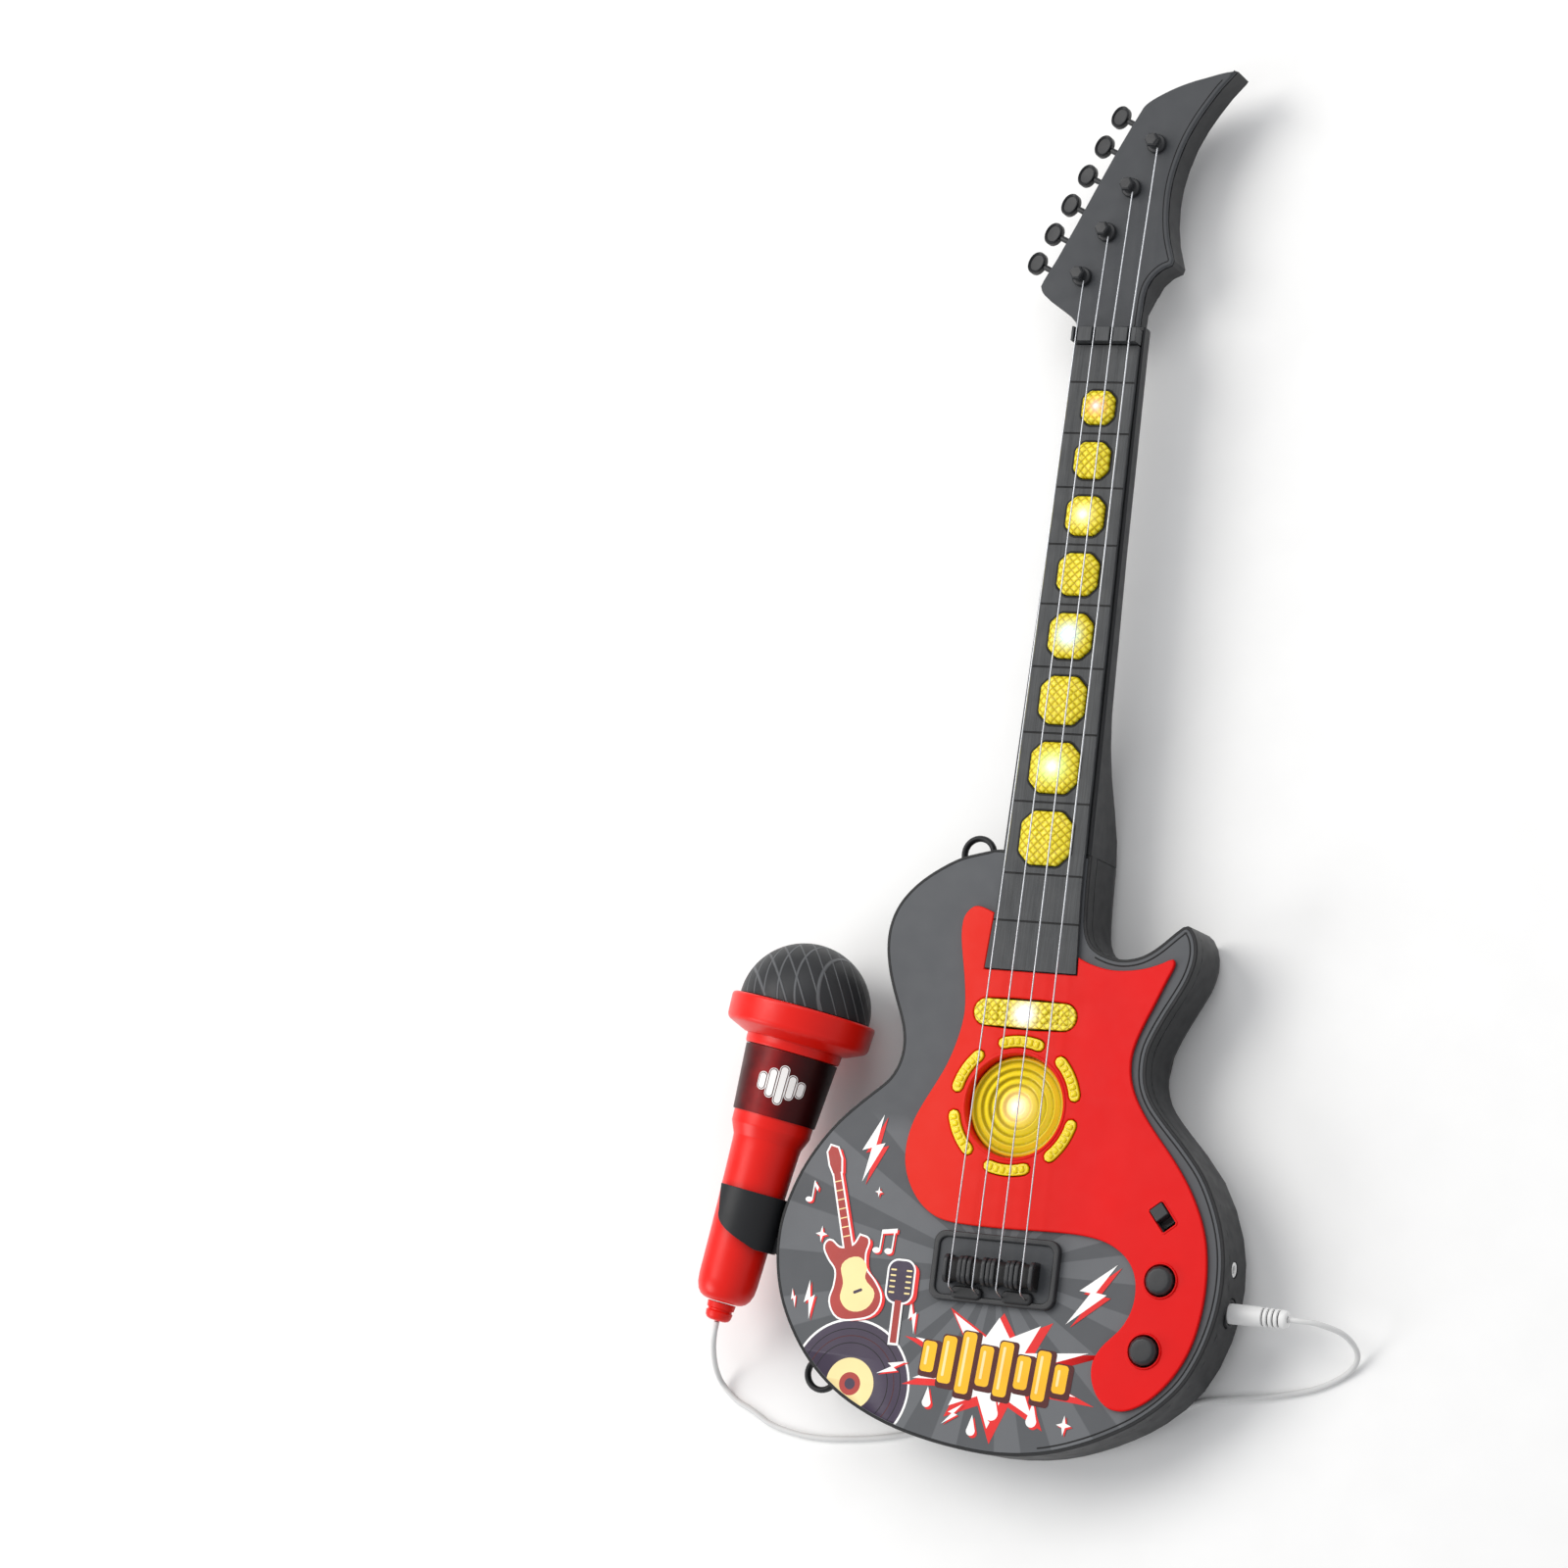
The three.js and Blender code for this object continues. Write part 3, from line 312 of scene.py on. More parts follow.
def lens(name, code="efd608", glow=None, centre=None, reach=6.0, strength=1.2, cell=0.0, rings=0.0):
    """Clear yellow plastic, painted shade between its facets, painted highlight on them. A lit lens glows round
    its lamp.
    """
    look = plastic(name, code, 0.26, grain=0.03, spread=0.08, coat=0.2, scale=500.0)
    if cell:
        at = look.parts(look.place)
        waves = []
        for kind in ("ADD", "SUBTRACT"):
            slant = look.math(kind, at["X"], at["Y"])
            wave = look.math("SINE", look.math("MULTIPLY", slant, math.pi / (1.414 * cell * MM)))
            waves.append(look.math("ABSOLUTE", wave))
        facet = look.math("MINIMUM", *waves)
        # Painted shade along the creases between the facets, painted highlight on the facets.
        look.paint(look.ramp(facet, [(0.08, srgb("bda400")), (0.4, srgb("edd40c")), (0.95, srgb("fff04a"))]))
        look.bump(facet, 0.5, 0.8)
    look.set(Subsurface_Weight=0.12, Subsurface_Radius=(0.004, 0.003, 0.001), Subsurface_Scale=0.5)
    # Painted shade: darker yellow rings in the disc's grooves, lighter yellow on its steps.
    if rings:
        stops = [(0.05, srgb("b39c06")), (0.45, srgb("ecd20a")), (0.95, srgb("fbe83a"))]
        look.paint(look.ramp(look.span(look.ripples(centre, rings), -1.0, 1.0), stops))
    if glow:
        near = look.math("POWER", look.span(look.distance(centre), reach * MM, 0.0), 1.6)
        bright = look.ramp(near, [(0.0, srgb(code)), (0.55, srgb(glow)), (1.0, WHITE)])
        look.wire(bright, look.shader.inputs["Emission Color"])
        look.wire(look.math("MULTIPLY", near, strength), look.shader.inputs["Emission Strength"])
        look.tint(near, srgb(glow))
    return look


def metal(name, code, roughness):
    look = plastic(name, code, roughness, grain=0.02, spread=0.06, scale=1500.0)
    look.set(Metallic=1.0)
    return look


def label_print(name):
    """A gloss sleeve, near black at the sides and deep red in front."""
    look = plastic(name, "1a0203", 0.4, grain=0.01, coat=0.05, shine=0.2)
    offset = look.vector("SUBTRACT", look.place, MIC_MIDDLE * MM)
    across = look.math("ABSOLUTE", look.vector("DOT_PRODUCT", offset, MIC_SIDE.to_2d().to_3d(), "Value"))
    smoke = look.span(look.noise(90.0, 4.0), 0.3, 0.75, 0.65, 1.1)
    red = look.math("MULTIPLY", look.span(across, 0.021, 0.002), smoke)
    look.paint(look.ramp(red, [(0.0, srgb("0c0203")), (0.5, srgb("4a0508")), (1.0, srgb("8c0d10"))]))
    return look


def axis_of(joint_name):
    return Vector(next(j["axis"] for j in frame["joints"] if j["name"] == joint_name))


MIC_SIDE = axis_of("microphone_unclip").normalized()
MIC_ALONG = Vector((-MIC_SIDE.y, MIC_SIDE.x, 0)) * -1.0
MATERIALS = {}


def make_materials():
    kinds = {
        "face": printed_face("body_face"),
        "plain_face": plastic("head_face", "434548", 0.5, grain=0.02, spread=0.02, shine=0.25),
        # Painted shade: a darker copy of the face's grey plastic, for the body's walls, rim band and back.
        "rim": plastic("body_rim_shaded", "1e1f21", 0.42, grain=0.03, shine=0.25),
        "black": plastic("black_plastic", "232426", 0.42, shine=0.3),
        "groove": plastic("groove_shadow", "131314", 0.6),
        "red": panel_red("red_gloss"),
        "mic_red": plastic("mic_red_gloss", "e2160a", 0.33, grain=0.001, spread=0.03, scale=260.0),
        "lens": lens("yellow_lens"),
        "key_lens": lens("key_lens", cell=2.7),
        "slate": brushed("fingerboard_slate", "3d3f41", 0.46),
        "graphite": plastic("graphite_plastic", "2f3032", 0.38, grain=0.02),
        "grille": grille_print("grille_mesh"),
        "steel": metal("string_steel", "c4c6ca", 0.34),
        "white": plastic("white_plastic", "e9e9e8", 0.34, grain=0.01, spread=0.03),
        "cord": plastic("cord_jacket", "d6d6d5", 0.5, grain=0.03, spread=0.03),
        "label": label_print("label_print"),
        "board": plastic("circuit_board", "1c6a39", 0.45, grain=0.05, spread=0.3, scale=420.0),
        "rubber": plastic("rubber_pad", "9a9b98", 0.75, grain=0.05),
        "cell": plastic("cell_wrap", "2d6c9c", 0.3, grain=0.01, spread=0.25, coat=0.4),
        "cone": plastic("speaker_cone", "1f1f20", 0.7, grain=0.08, spread=0.2),
    }
    for key, code, spread in (("ink_white", "f7f6f4", 0.02), ("ink_red", "e01c1b", 0.05),
                              ("ink_gold", "fcba0c", 0.1), ("ink_cream", "f6e0a0", 0.05),
                              ("ink_brick", "a83a34", 0.12), ("ink_plum", "3f3448", 0.12),
                              ("ink_maroon", "4a0a0b", 0.05)):
        kinds[key] = plastic(key, code, 0.4, grain=0.01, spread=spread)
    for key, look in kinds.items():
        MATERIALS[key] = look.material


# ---------------------------------------------------------------- mesh helpers
def add_piece(name, mesh, look, replaces=(), slot=None, body="guitar_body"):
    """Links a finished mesh as a piece that rides on a body and stands for CAD nodes."""
    mesh.name = name
    piece = bpy.data.objects.new(name, mesh)
    bpy.context.scene.collection.objects.link(piece)
    mesh.materials.append(MATERIALS[look] if isinstance(look, str) else look)
    if replaces:
        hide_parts(*replaces)
        slot = slot or slot_of(replaces[0])
    if body:
        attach(piece, body)
        piece.modifiers.new("flat_faces", "WEIGHTED_NORMAL").keep_sharp = True
    return piece


def slot_of(node):
    return next(s["material_slot"] for s in frame["record"]["subparts"] if s["node"] == node)


def body_of(node):
    return next(b for b, nodes in frame["record"]["behaviour"]["bodies"].items() if node in nodes)


def finish_mesh(bm, sharp):
    """Outward faces, smooth shading and crisp edges where faces meet at more than sharp degrees."""
    bmesh.ops.recalc_face_normals(bm, faces=bm.faces)
    for face in bm.faces:
        face.smooth = True
    for edge in bm.edges:
        edge.smooth = not (edge.is_manifold and edge.calc_face_angle(0) > math.radians(sharp))
    mesh = bpy.data.meshes.new("shape")
    bm.to_mesh(mesh)
    bm.free()
    return mesh


def build(points, faces, sharp=35.0, weld=False):
    """A mesh from points in millimetres and faces of point numbers. weld joins points that meet."""
    bm = bmesh.new()
    corners = [bm.verts.new(Vector(p) * MM) for p in points]
    for face in faces:
        if len(set(face)) > 2:
            bm.faces.new([corners[i] for i in face])
    if weld:
        bmesh.ops.remove_doubles(bm, verts=bm.verts, dist=TURNED_WELD * MM)
        bmesh.ops.dissolve_degenerate(bm, edges=bm.edges, dist=TURNED_WELD / 2 * MM)
    return finish_mesh(bm, sharp)


def ring_faces(count, rings, start=0, closed=False):
    """Faces between rings of count points, numbered from start. closed adds a face over each end."""
    faces = []
    for ring in range(rings - 1):
        for i in range(count):
            a, b = start + ring * count + i, start + ring * count + (i + 1) % count
            faces.append((a, b, b + count, a + count))
    if closed:
        faces += [tuple(range(count)), tuple((rings - 1) * count + i for i in range(count))]
    return faces


def soften(piece, width, steps=3, angle=35.0):
    """Rounds the edges where faces meet at more than angle degrees."""
    bevel = piece.modifiers.new("rounding", "BEVEL")
    bevel.width, bevel.segments = width * MM, steps
    bevel.limit_method, bevel.angle_limit = "ANGLE", math.radians(angle)
    piece.modifiers.move(len(piece.modifiers) - 1, 0)


def cad_mesh(node):
    """A CAD node's own shape as one joined mesh, ready for editing."""
    bm = bmesh.new()
    bm.from_mesh(frame["nodes"][node].data)
    bmesh.ops.remove_doubles(bm, verts=bm.verts, dist=CAD_WELD * MM)
    return bm


def skin(node, look, width=0.3, sharp=35.0, steps=2):
    """A smooth-shaded piece with rounded edges on a CAD node's own shape."""
    bm = cad_mesh(node)
    bmesh.ops.dissolve_limit(bm, angle_limit=math.radians(0.6), verts=bm.verts, edges=bm.edges)
    piece = add_piece(node + "_skin", finish_mesh(bm, sharp), look, [node], body=body_of(node))
    soften(piece, width, steps, sharp)


def keep(node, look):
    """A CAD node whose shape is right, with its finish."""
    slots = frame["nodes"][node].data.materials
    slots.clear()
    slots.append(MATERIALS[look])


def around(loop):
    """Each point of a closed loop between the one before it and the one after it."""
    return zip(loop[-1:] + loop[:-1], loop, loop[1:] + loop[:1])


def loop_inset(loop, depth):
    """Moves a closed loop to its left by depth."""
    moved = []
    for before, here, after in around(loop):
        a = (here - before).normalized()
        b = (after - here).normalized()
        normal = Vector((-a.y - b.y, a.x + b.x)).normalized()
        moved.append(here + normal * depth / max(0.5, Vector((-a.y, a.x)).dot(normal)))
    return moved


def loop_area(loop):
    return sum(a.x * b.y - b.x * a.y for a, b in zip(loop, loop[1:] + loop[:1])) / 2


def as_loop(points, clockwise=False):
    loop = [Vector(p) for p in points]
    return loop[::-1] if (loop_area(loop) < 0) != clockwise else loop


def refine(loop, corner=38.0, steps=3):
    """Runs a smooth curve through a loop's points, and keeps its sharp corners."""
    count = len(loop)
    ways = [(loop[(i + 1) % count] - here).normalized() for i, here in enumerate(loop)]
    fine = []
    for i, start in enumerate(loop):
        end = loop[(i + 1) % count]
        length = (end - start).length
        leave = arrive = ways[i]
        if ways[i - 1].angle(ways[i]) < math.radians(corner):
            leave = (ways[i - 1] + ways[i]).normalized()
        if ways[i].angle(ways[(i + 1) % count]) < math.radians(corner):
            arrive = (ways[i] + ways[(i + 1) % count]).normalized()
        for k in range(steps):
            t = k / steps
            fine.append(start * (2 * t ** 3 - 3 * t ** 2 + 1) + leave * length * (t ** 3 - 2 * t ** 2 + t)
                        + end * (3 * t ** 2 - 2 * t ** 3) + arrive * length * (t ** 3 - t ** 2))
    return fine


def slices(node, z):
    """The closed outlines of a CAD node at height z, the largest first."""
    bm = cad_mesh(node)
    geom = bm.verts[:] + bm.edges[:] + bm.faces[:]
    cut = bmesh.ops.bisect_plane(bm, geom=geom, plane_co=(0, 0, z * MM), plane_no=(0, 0, 1))["geom_cut"]
    edges = dict.fromkeys(e for e in cut if isinstance(e, bmesh.types.BMEdge))
    loops = []
    while edges:
        edge = next(iter(edges))
        del edges[edge]
        chain = [edge.verts[0], edge.verts[1]]
        while True:
            onward = next((e for e in chain[-1].link_edges if e in edges), None)
            if onward is None:
                break
            del edges[onward]
            chain.append(onward.other_vert(chain[-1]))
        if chain[0] is chain[-1]:
            chain.pop()
        points = [Vector((v.co.x / MM, v.co.y / MM)) for v in chain]
        loops.append(straighten(points))
    bm.free()
    return sorted(loops, key=lambda p: -abs(loop_area(p)))


def straighten(loop):
    """Drops points that lie on a straight run or on each other."""
    kept = []
    count = len(loop)
    for i, here in enumerate(loop):
        a, b = here - loop[i - 1], loop[(i + 1) % count] - here
        if a.length > 0.01 and (b.length < 0.01 or a.angle(b) > math.radians(0.4)):
            kept.append(here)
    return kept


def plate(outline, holes, bottom, top, rounding, steps=4):
    """A flat plate from an outline and its holes. Its upper edges are rounded where rounding isn't 0."""
    loops = [as_loop(outline)] + [as_loop(h, clockwise=True) for h in holes]
    turns = [math.pi / 2 * k / steps for k in range(steps + 1)] if rounding else [0.0]
    levels = [(0.0, bottom)]
    levels += [(rounding * (1 - math.cos(a)), top - rounding * (1 - math.sin(a))) for a in turns]
    points, faces, starts = [], [], []
    for loop in loops:
        starts.append(len(points))
        for depth, z in levels:
            points += [(p.x, p.y, z) for p in loop_inset(loop, depth)]
        faces += ring_faces(len(loop), len(levels), starts[-1])
    last = len(levels) - 1
    owner = [(s, i, len(loop)) for s, loop in zip(starts, loops) for i in range(len(loop))]
    for level in (0, last):
        flat = [[Vector((*points[s + level * len(loop) + i][:2], 0)) for i in range(len(loop))]
                for s, loop in zip(starts, loops)]
        for triangle in geometry.tessellate_polygon(flat):
            faces.append(tuple(owner[i][0] + level * owner[i][2] + owner[i][1] for i in triangle))
    return build(points, faces)


def lathe(profile, place, sides=64, sharp=35.0):
    """Turns a profile of (radius, distance) pairs about the local Y axis, then puts it in place."""
    angles = [2 * math.pi * i / sides for i in range(sides)]
    points = [place @ Vector((r * math.cos(a), v, r * math.sin(a))) for r, v in profile for a in angles]
    return build(points, ring_faces(sides, len(profile)), sharp, weld=True)


def arc(cx, cy, r, start, end, steps):
    angles = [math.radians(start + (end - start) * k / steps) for k in range(steps + 1)]
    return [Vector((cx + r * math.cos(a), cy + r * math.sin(a))) for a in angles]


def rounded_box(cx, cy, length, width, r, steps=8):
    x, y = length / 2 - r, width / 2 - r
    return (arc(cx + x, cy + y, r, 0, 90, steps) + arc(cx - x, cy + y, r, 90, 180, steps)
            + arc(cx - x, cy - y, r, 180, 270, steps) + arc(cx + x, cy - y, r, 270, 360, steps))


def smooth_path(points, steps=8):
    """A smooth open line through points in space."""
    line = [Vector(p) for p in points]
    ends = [line[0] * 2 - line[1], *line, line[-1] * 2 - line[-2]]
    fine = []
    for p0, p1, p2, p3 in zip(ends, ends[1:], ends[2:], ends[3:]):
        for k in range(steps):
            t = k / steps
            fine.append(0.5 * (2 * p1 + (p2 - p0) * t + (2 * p0 - 5 * p1 + 4 * p2 - p3) * t * t
                               + (3 * p1 - p0 - 3 * p2 + p3) * t * t * t))
    return fine + [line[-1]]


def tube(path, radius, sides, flat=1.0):
    """A bar along a path with flat ends. radius is a number or a function of the share along."""
    points = []
    size = radius if callable(radius) else (lambda share: radius)
    tangent = (path[1] - path[0]).normalized()
    helper = Vector((0, 0, 1)) if abs(tangent.z) < 0.9 else Vector((1, 0, 0))
    side = tangent.cross(helper).normalized()
    last = len(path) - 1
    for i, here in enumerate(path):
        tangent = (path[min(i + 1, last)] - path[max(i - 1, 0)]).normalized()
        side = (side - tangent * side.dot(tangent)).normalized()
        up = tangent.cross(side)
        r = size(i / last)
        for k in range(sides):
            a = 2 * math.pi * k / sides
            points.append(here + side * math.cos(a) * r + up * math.sin(a) * r * flat)
    return build(points, ring_faces(sides, len(path), closed=True), 60.0)


def upright(x, y):
    """Puts a lathe's axis upright at (x, y)."""
    return Matrix.Translation((x, y, 0)) @ Matrix.Rotation(math.pi / 2, 4, "X")


def mic_place():
    """The microphone's own axes: Y along it towards the grille, X across it towards the guitar, Z up."""
    across = -MIC_SIDE
    axes = Matrix((across, MIC_ALONG, Vector((0, 0, 1)))).transposed().to_4x4()
    return Matrix.Translation(MIC_MIDDLE) @ axes


# ---------------------------------------------------------------- lead
LEAD = [
    (-128.15, -103.45, 33), (-129.2, -108.5, 31.6), (-131.4, -113.4, 26.4), (-134, -118, 19),
    (-136.2, -122.5, 11), (-136.4, -127, 5), (-134.1, -130.7, 2.2), (-129, -135, 1.3), (-120.3, -138.9, 1.3),
    (-112.5, -143, 1.3), (-104.6, -145.2, 1.3), (-94.3, -146.7, 1.3), (-84.2, -146.8, 1.3),
    (-74.4, -145.9, 1.3), (-63.8, -144.5, 1.3), (-53.3, -142.4, 1.3), (-42, -139.6, 1.3),
    (-30, -137.6, 1.3), (-18, -137, 1.3), (-2, -139.4, 1.3), (14, -140, 1.3), (29, -138, 1.3),
    (43.4, -133.6, 1.3), (57, -127.4, 1.3), (70, -119.8, 1.3), (84, -113, 1.3), (99, -110, 1.3),
    (116.5, -107, 1.3), (134, -102, 1.3), (146.4, -94.6, 1.8), (151.2, -87, 5.6), (147.6, -80, 13.6),
    (138.4, -76.8, 20.6), (130.4, -76.4, 23), (125.75, -76.4, 23),
]


def make_lead():
    path = smooth_path(LEAD, 8)
    lead = add_piece("lead", tube(path, CORD_R, 14), "cord", ["mic_lead"], body=None)
    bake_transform(lead)
    make_plug()


def make_plug():
    """The white sleeve with its grip grooves, and the pin inside the socket."""
    place = Matrix.Translation((0, JACK_Y, JACK_Z)) @ Matrix.Rotation(-math.pi / 2, 4, "Z")
    grooves = []
    for i in range(4):
        x, r = 114.6 + 2.3 * i, 4.15 - 0.08 * i
        grooves += [(r, x - 0.25), (r - 0.12, x), (r - 0.6, x + 0.05)]
        grooves += [(r - 0.6, x + 0.85), (r - 0.12, x + 0.9), (r, x + 1.15)]
    nose = [(0, 95), (4.1, 95), (4.3, 95.3), (4.3, 110), (4.22, 112.5)]
    tail = [(3.82, 124), (3.72, 124.7), (3.35, 125.2), (2.6, 125.38), (1.5, 125.4), (1.35, 124.6),
            (0, 124.6)]
    sleeve = add_piece("plug_sleeve", lathe(nose + grooves + tail, place, 48), "white", ["jack_plug"],
                       body="jack_plug")
    # Painted shade: dark rings on the floors of the grip grooves.
    for i in range(4):
        x, r = 114.95 + 2.3 * i, 3.66 - 0.08 * i
        ring = [(3.3, x), (r, x), (r, x + 0.8), (3.3, x + 0.8), (3.3, x)]
        add_piece(f"plug_groove_shade_{i + 1}", lathe(ring, place, 40), "groove", slot="white_plastic",
                  body="jack_plug")
    keep("jack_pin", "steel")
    return [sleeve, frame["nodes"]["jack_pin"]]


# ---------------------------------------------------------------- body
def make_body():
    outer, *holes = [refine(p) for p in slices("front_casing", CASING_CUT)]
    wall = loop_inset(as_loop(outer), -0.35)
    band = 1.5
    # The wall and a narrow band round the face get the rim's darker plastic: painted shade for the walls.
    edge = plate(wall, [loop_inset(wall, band)], SEAM_Z, FACE_Z, 1.3, 6)
    add_piece("face_border", edge, "rim", ["front_casing"])
    face_loop = loop_inset(wall, band - 0.05)
    inner = plate(face_loop, holes, FACE_Z - FACE_WALL, FACE_Z + 0.02, 0)
    add_piece("printed_face", inner, "face", slot="body_face_plastic")
    # A fine groove follows the right edge, from the cutaway to the tail: a dark tube of painted shade on the face.
    line = [p for p in loop_inset(wall, 3.0) if p.x > EDGE_LINE_X and p.y < EDGE_LINE_Y]
    first = max(range(len(line)), key=lambda i: (line[i] - line[i - 1]).length)
    line = [Vector((p.x, p.y, FACE_Z - 0.1)) for p in line[first:] + line[:first]]
    add_piece("edge_groove", tube(line, 0.38, 8), "groove", slot="body_face_plastic")
    # The back and the battery door get the same darker plastic of painted shade.
    skin("rear_casing", "rim", 0.4, 30)
    skin("battery_door", "rim", 0.25)
    return face_loop


def make_neck():
    skin("neck_shell", "black", 0.35, 28)
    skin("fingerboard", "slate", 0.15)
    make_fret_grooves()
    skin("nut", "slate", 0.3)
    outline, *holes = [refine(p) for p in slices("head_cover", HEAD_Z - 1.0)]
    outline = as_loop(outline)
    cover = plate(outline, holes, HEAD_Z - 1.6, HEAD_Z, 0.9, 4)
    add_piece("head_face", cover, "plain_face", ["head_cover"])
    # A fine groove follows the cover's right edge: a dark tube of painted shade on the cover.
    inset = loop_inset(outline, 2.0)
    tip = max(p.y for p in inset) - 3
    line = []
    for before, here, after in around(inset):
        if after.y > before.y and HEAD_LINE_X < here.x and here.y < tip:
            line.append(Vector((here.x, here.y, HEAD_Z - 0.12)))
    first = max(range(len(line)), key=lambda i: (line[i] - line[i - 1]).length)
    line = line[first:] + line[:first]
    add_piece("head_groove", tube(line, 0.3, 8), "groove", slot="black_plastic")


def make_fret_grooves():
    """The shadowed floors of the grooves that stand for frets."""
    edge = as_loop(slices("fingerboard", BOARD_Z - 1.6)[0])
    levels = [FIRST_FRET - 22.8 * i - 0.6 * i * (i - 1) for i in range(KEYS + 1)] + [LAST_GROOVE]
    for number, y in enumerate(levels):
        ends = []
        for a, b in zip(edge, edge[1:] + edge[:1]):
            if (a.y - y) * (b.y - y) < 0:
                ends.append(a.x + (b.x - a.x) * (y - a.y) / (b.y - a.y))
        left, right = min(ends), max(ends)
        strip = rounded_box((left + right) / 2, y, right - left - 0.3, 0.84, 0.05, 1)
        mesh = plate(strip, [], BOARD_Z - 0.69, BOARD_Z - 0.25, 0)
        add_piece(f"fret_groove_{number + 1}", mesh, "groove", slot="fingerboard_plastic")


def make_panel():
    outline, *holes = [refine(p) for p in slices("pickguard", PANEL_CUT)]
    add_piece("red_panel", plate(outline, holes, FACE_Z + 0.3, PANEL_Z, 0.7, 5), "red", ["pickguard"])
    ring = [(6.75, 39.6), (6.75, 40.5), (6.95, 40.8), (7.35, 40.8), (7.6, 40.4), (7.75, 39.6), (6.75, 39.6)]
    for button in ("melody_button", "volume_button"):
        at = middle(button)
        add_piece(button + "_ring", lathe(ring, upright(at.x, at.y), 64), "red", slot="red_gloss_plastic")
    collar = [(22, 34.2), (22, 39.4), (22.2, 40.1), (22.7, 40.45), (23.3, 40.4), (23.6, 39.8), (23.6, 34.2),
              (22, 34.2)]
    add_piece("lens_rim", lathe(collar, upright(0, 0), 96), "red", slot="red_gloss_plastic")


# ---------------------------------------------------------------- lamps and lenses
LIT_KEYS = {1: "ff9a8a", 3: "fff6a8", 5: "bff3ff", 7: "c8ffb0"}


def make_disc():
    steps = [(0, 31.4), (23.2, 31.4), (23.2, 33.2), (21.4, 33.4), (21.4, 35.3), (20.9, 35.9), (20.2, 36.1)]
    for outer in (20.0, 16.6, 13.2, 9.8, 6.6):
        steps += [(outer - 0.1, 36.0), (outer - 0.5, 35.2), (outer - 1.0, 34.9), (outer - 1.6, 35.1),
                  (outer - 2.4, 35.9), (outer - 2.9, 36.2), (outer - 3.2, 36.1)]
    steps += [(2.6, 36.6), (1.6, 37.2), (0.8, 37.5), (0, 37.6)]
    glow = lens("disc_lit", "eccf0a", "ffd9b8", (0, 0, 36), 11.0, 1.1, rings=3.4)
    add_piece("disc_lens_steps", lathe(steps, upright(0, 0), 96, 40), glow.material, ["disc_lens"])


def beaded(name, outline, bottom, top, centre_line, bead, look, node):
    """A lens with a rounded edge and a row of small square beads along its middle."""
    add_piece(name, plate(outline, [], bottom, top, 0.5, 4), look, [node] if node else (),
              slot="yellow_lens_plastic")
    for i, (x, y, angle) in enumerate(centre_line):
        mesh = pillow(x, y, top - 0.15, bead, angle)
        add_piece(f"{name}_bead_{i + 1}", mesh, look, slot="yellow_lens_plastic")


def pillow(x, y, z, size, angle):
    """A small square lump with a domed top."""
    length, width, height = size
    turn = Matrix.Rotation(math.radians(angle), 2)
    levels = [(1.0, 0.0), (1.0, 0.3), (0.9, 0.7), (0.7, 0.92), (0.35, 1.0)]
    outline = rounded_box(0, 0, length, width, min(length, width) * 0.25, 3)
    points = []
    for share, rise in levels:
        for p in outline:
            q = turn @ (p * share)
            points.append((x + q.x, y + q.y, z + rise * height))
    return build(points, ring_faces(len(outline), len(levels), closed=True), 50)


def make_arcs_and_bar():
    look = MATERIALS["lens"]
    loops = slices("arc_lens_ring", PANEL_Z)
    for n, loop in enumerate(loops):
        fine = refine(as_loop(loop))
        centre = sum(loop, Vector((0, 0))) / len(loop)
        heading = math.degrees(math.atan2(centre.y, centre.x))
        places = []
        for k in range(6):
            a = heading + (k - 2.5) * 6.1
            places.append((27.4 * math.cos(math.radians(a)), 27.4 * math.sin(math.radians(a)), a + 90))
        beaded(f"arc_lens_{n + 1}", fine, 38.4, PANEL_Z + 0.7, places, (2.3, 3.0, 0.9), look,
               "arc_lens_ring" if n == 0 else None)
    bar = middle("bar_lens")
    low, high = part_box("bar_lens")
    length, width = (high.x - low.x) / MM - 2.4, (high.y - low.y) / MM - 2.4
    glow = lens("bar_lit", "efd608", "dfe9ff", (bar.x, bar.y, 41), 9.5, 1.2, 2.6)
    outline = rounded_box(bar.x, bar.y, length, width, width / 2 - 0.05, 12)
    places = [(bar.x + (i - 4) * 4.6, bar.y + row * 3.9, 0) for i in range(9) for row in (-0.5, 0.5)]
    beaded("bar_lens_face", outline, 34.0, PANEL_Z + 0.7, places, (3.7, 3.2, 0.9), glow.material, "bar_lens")


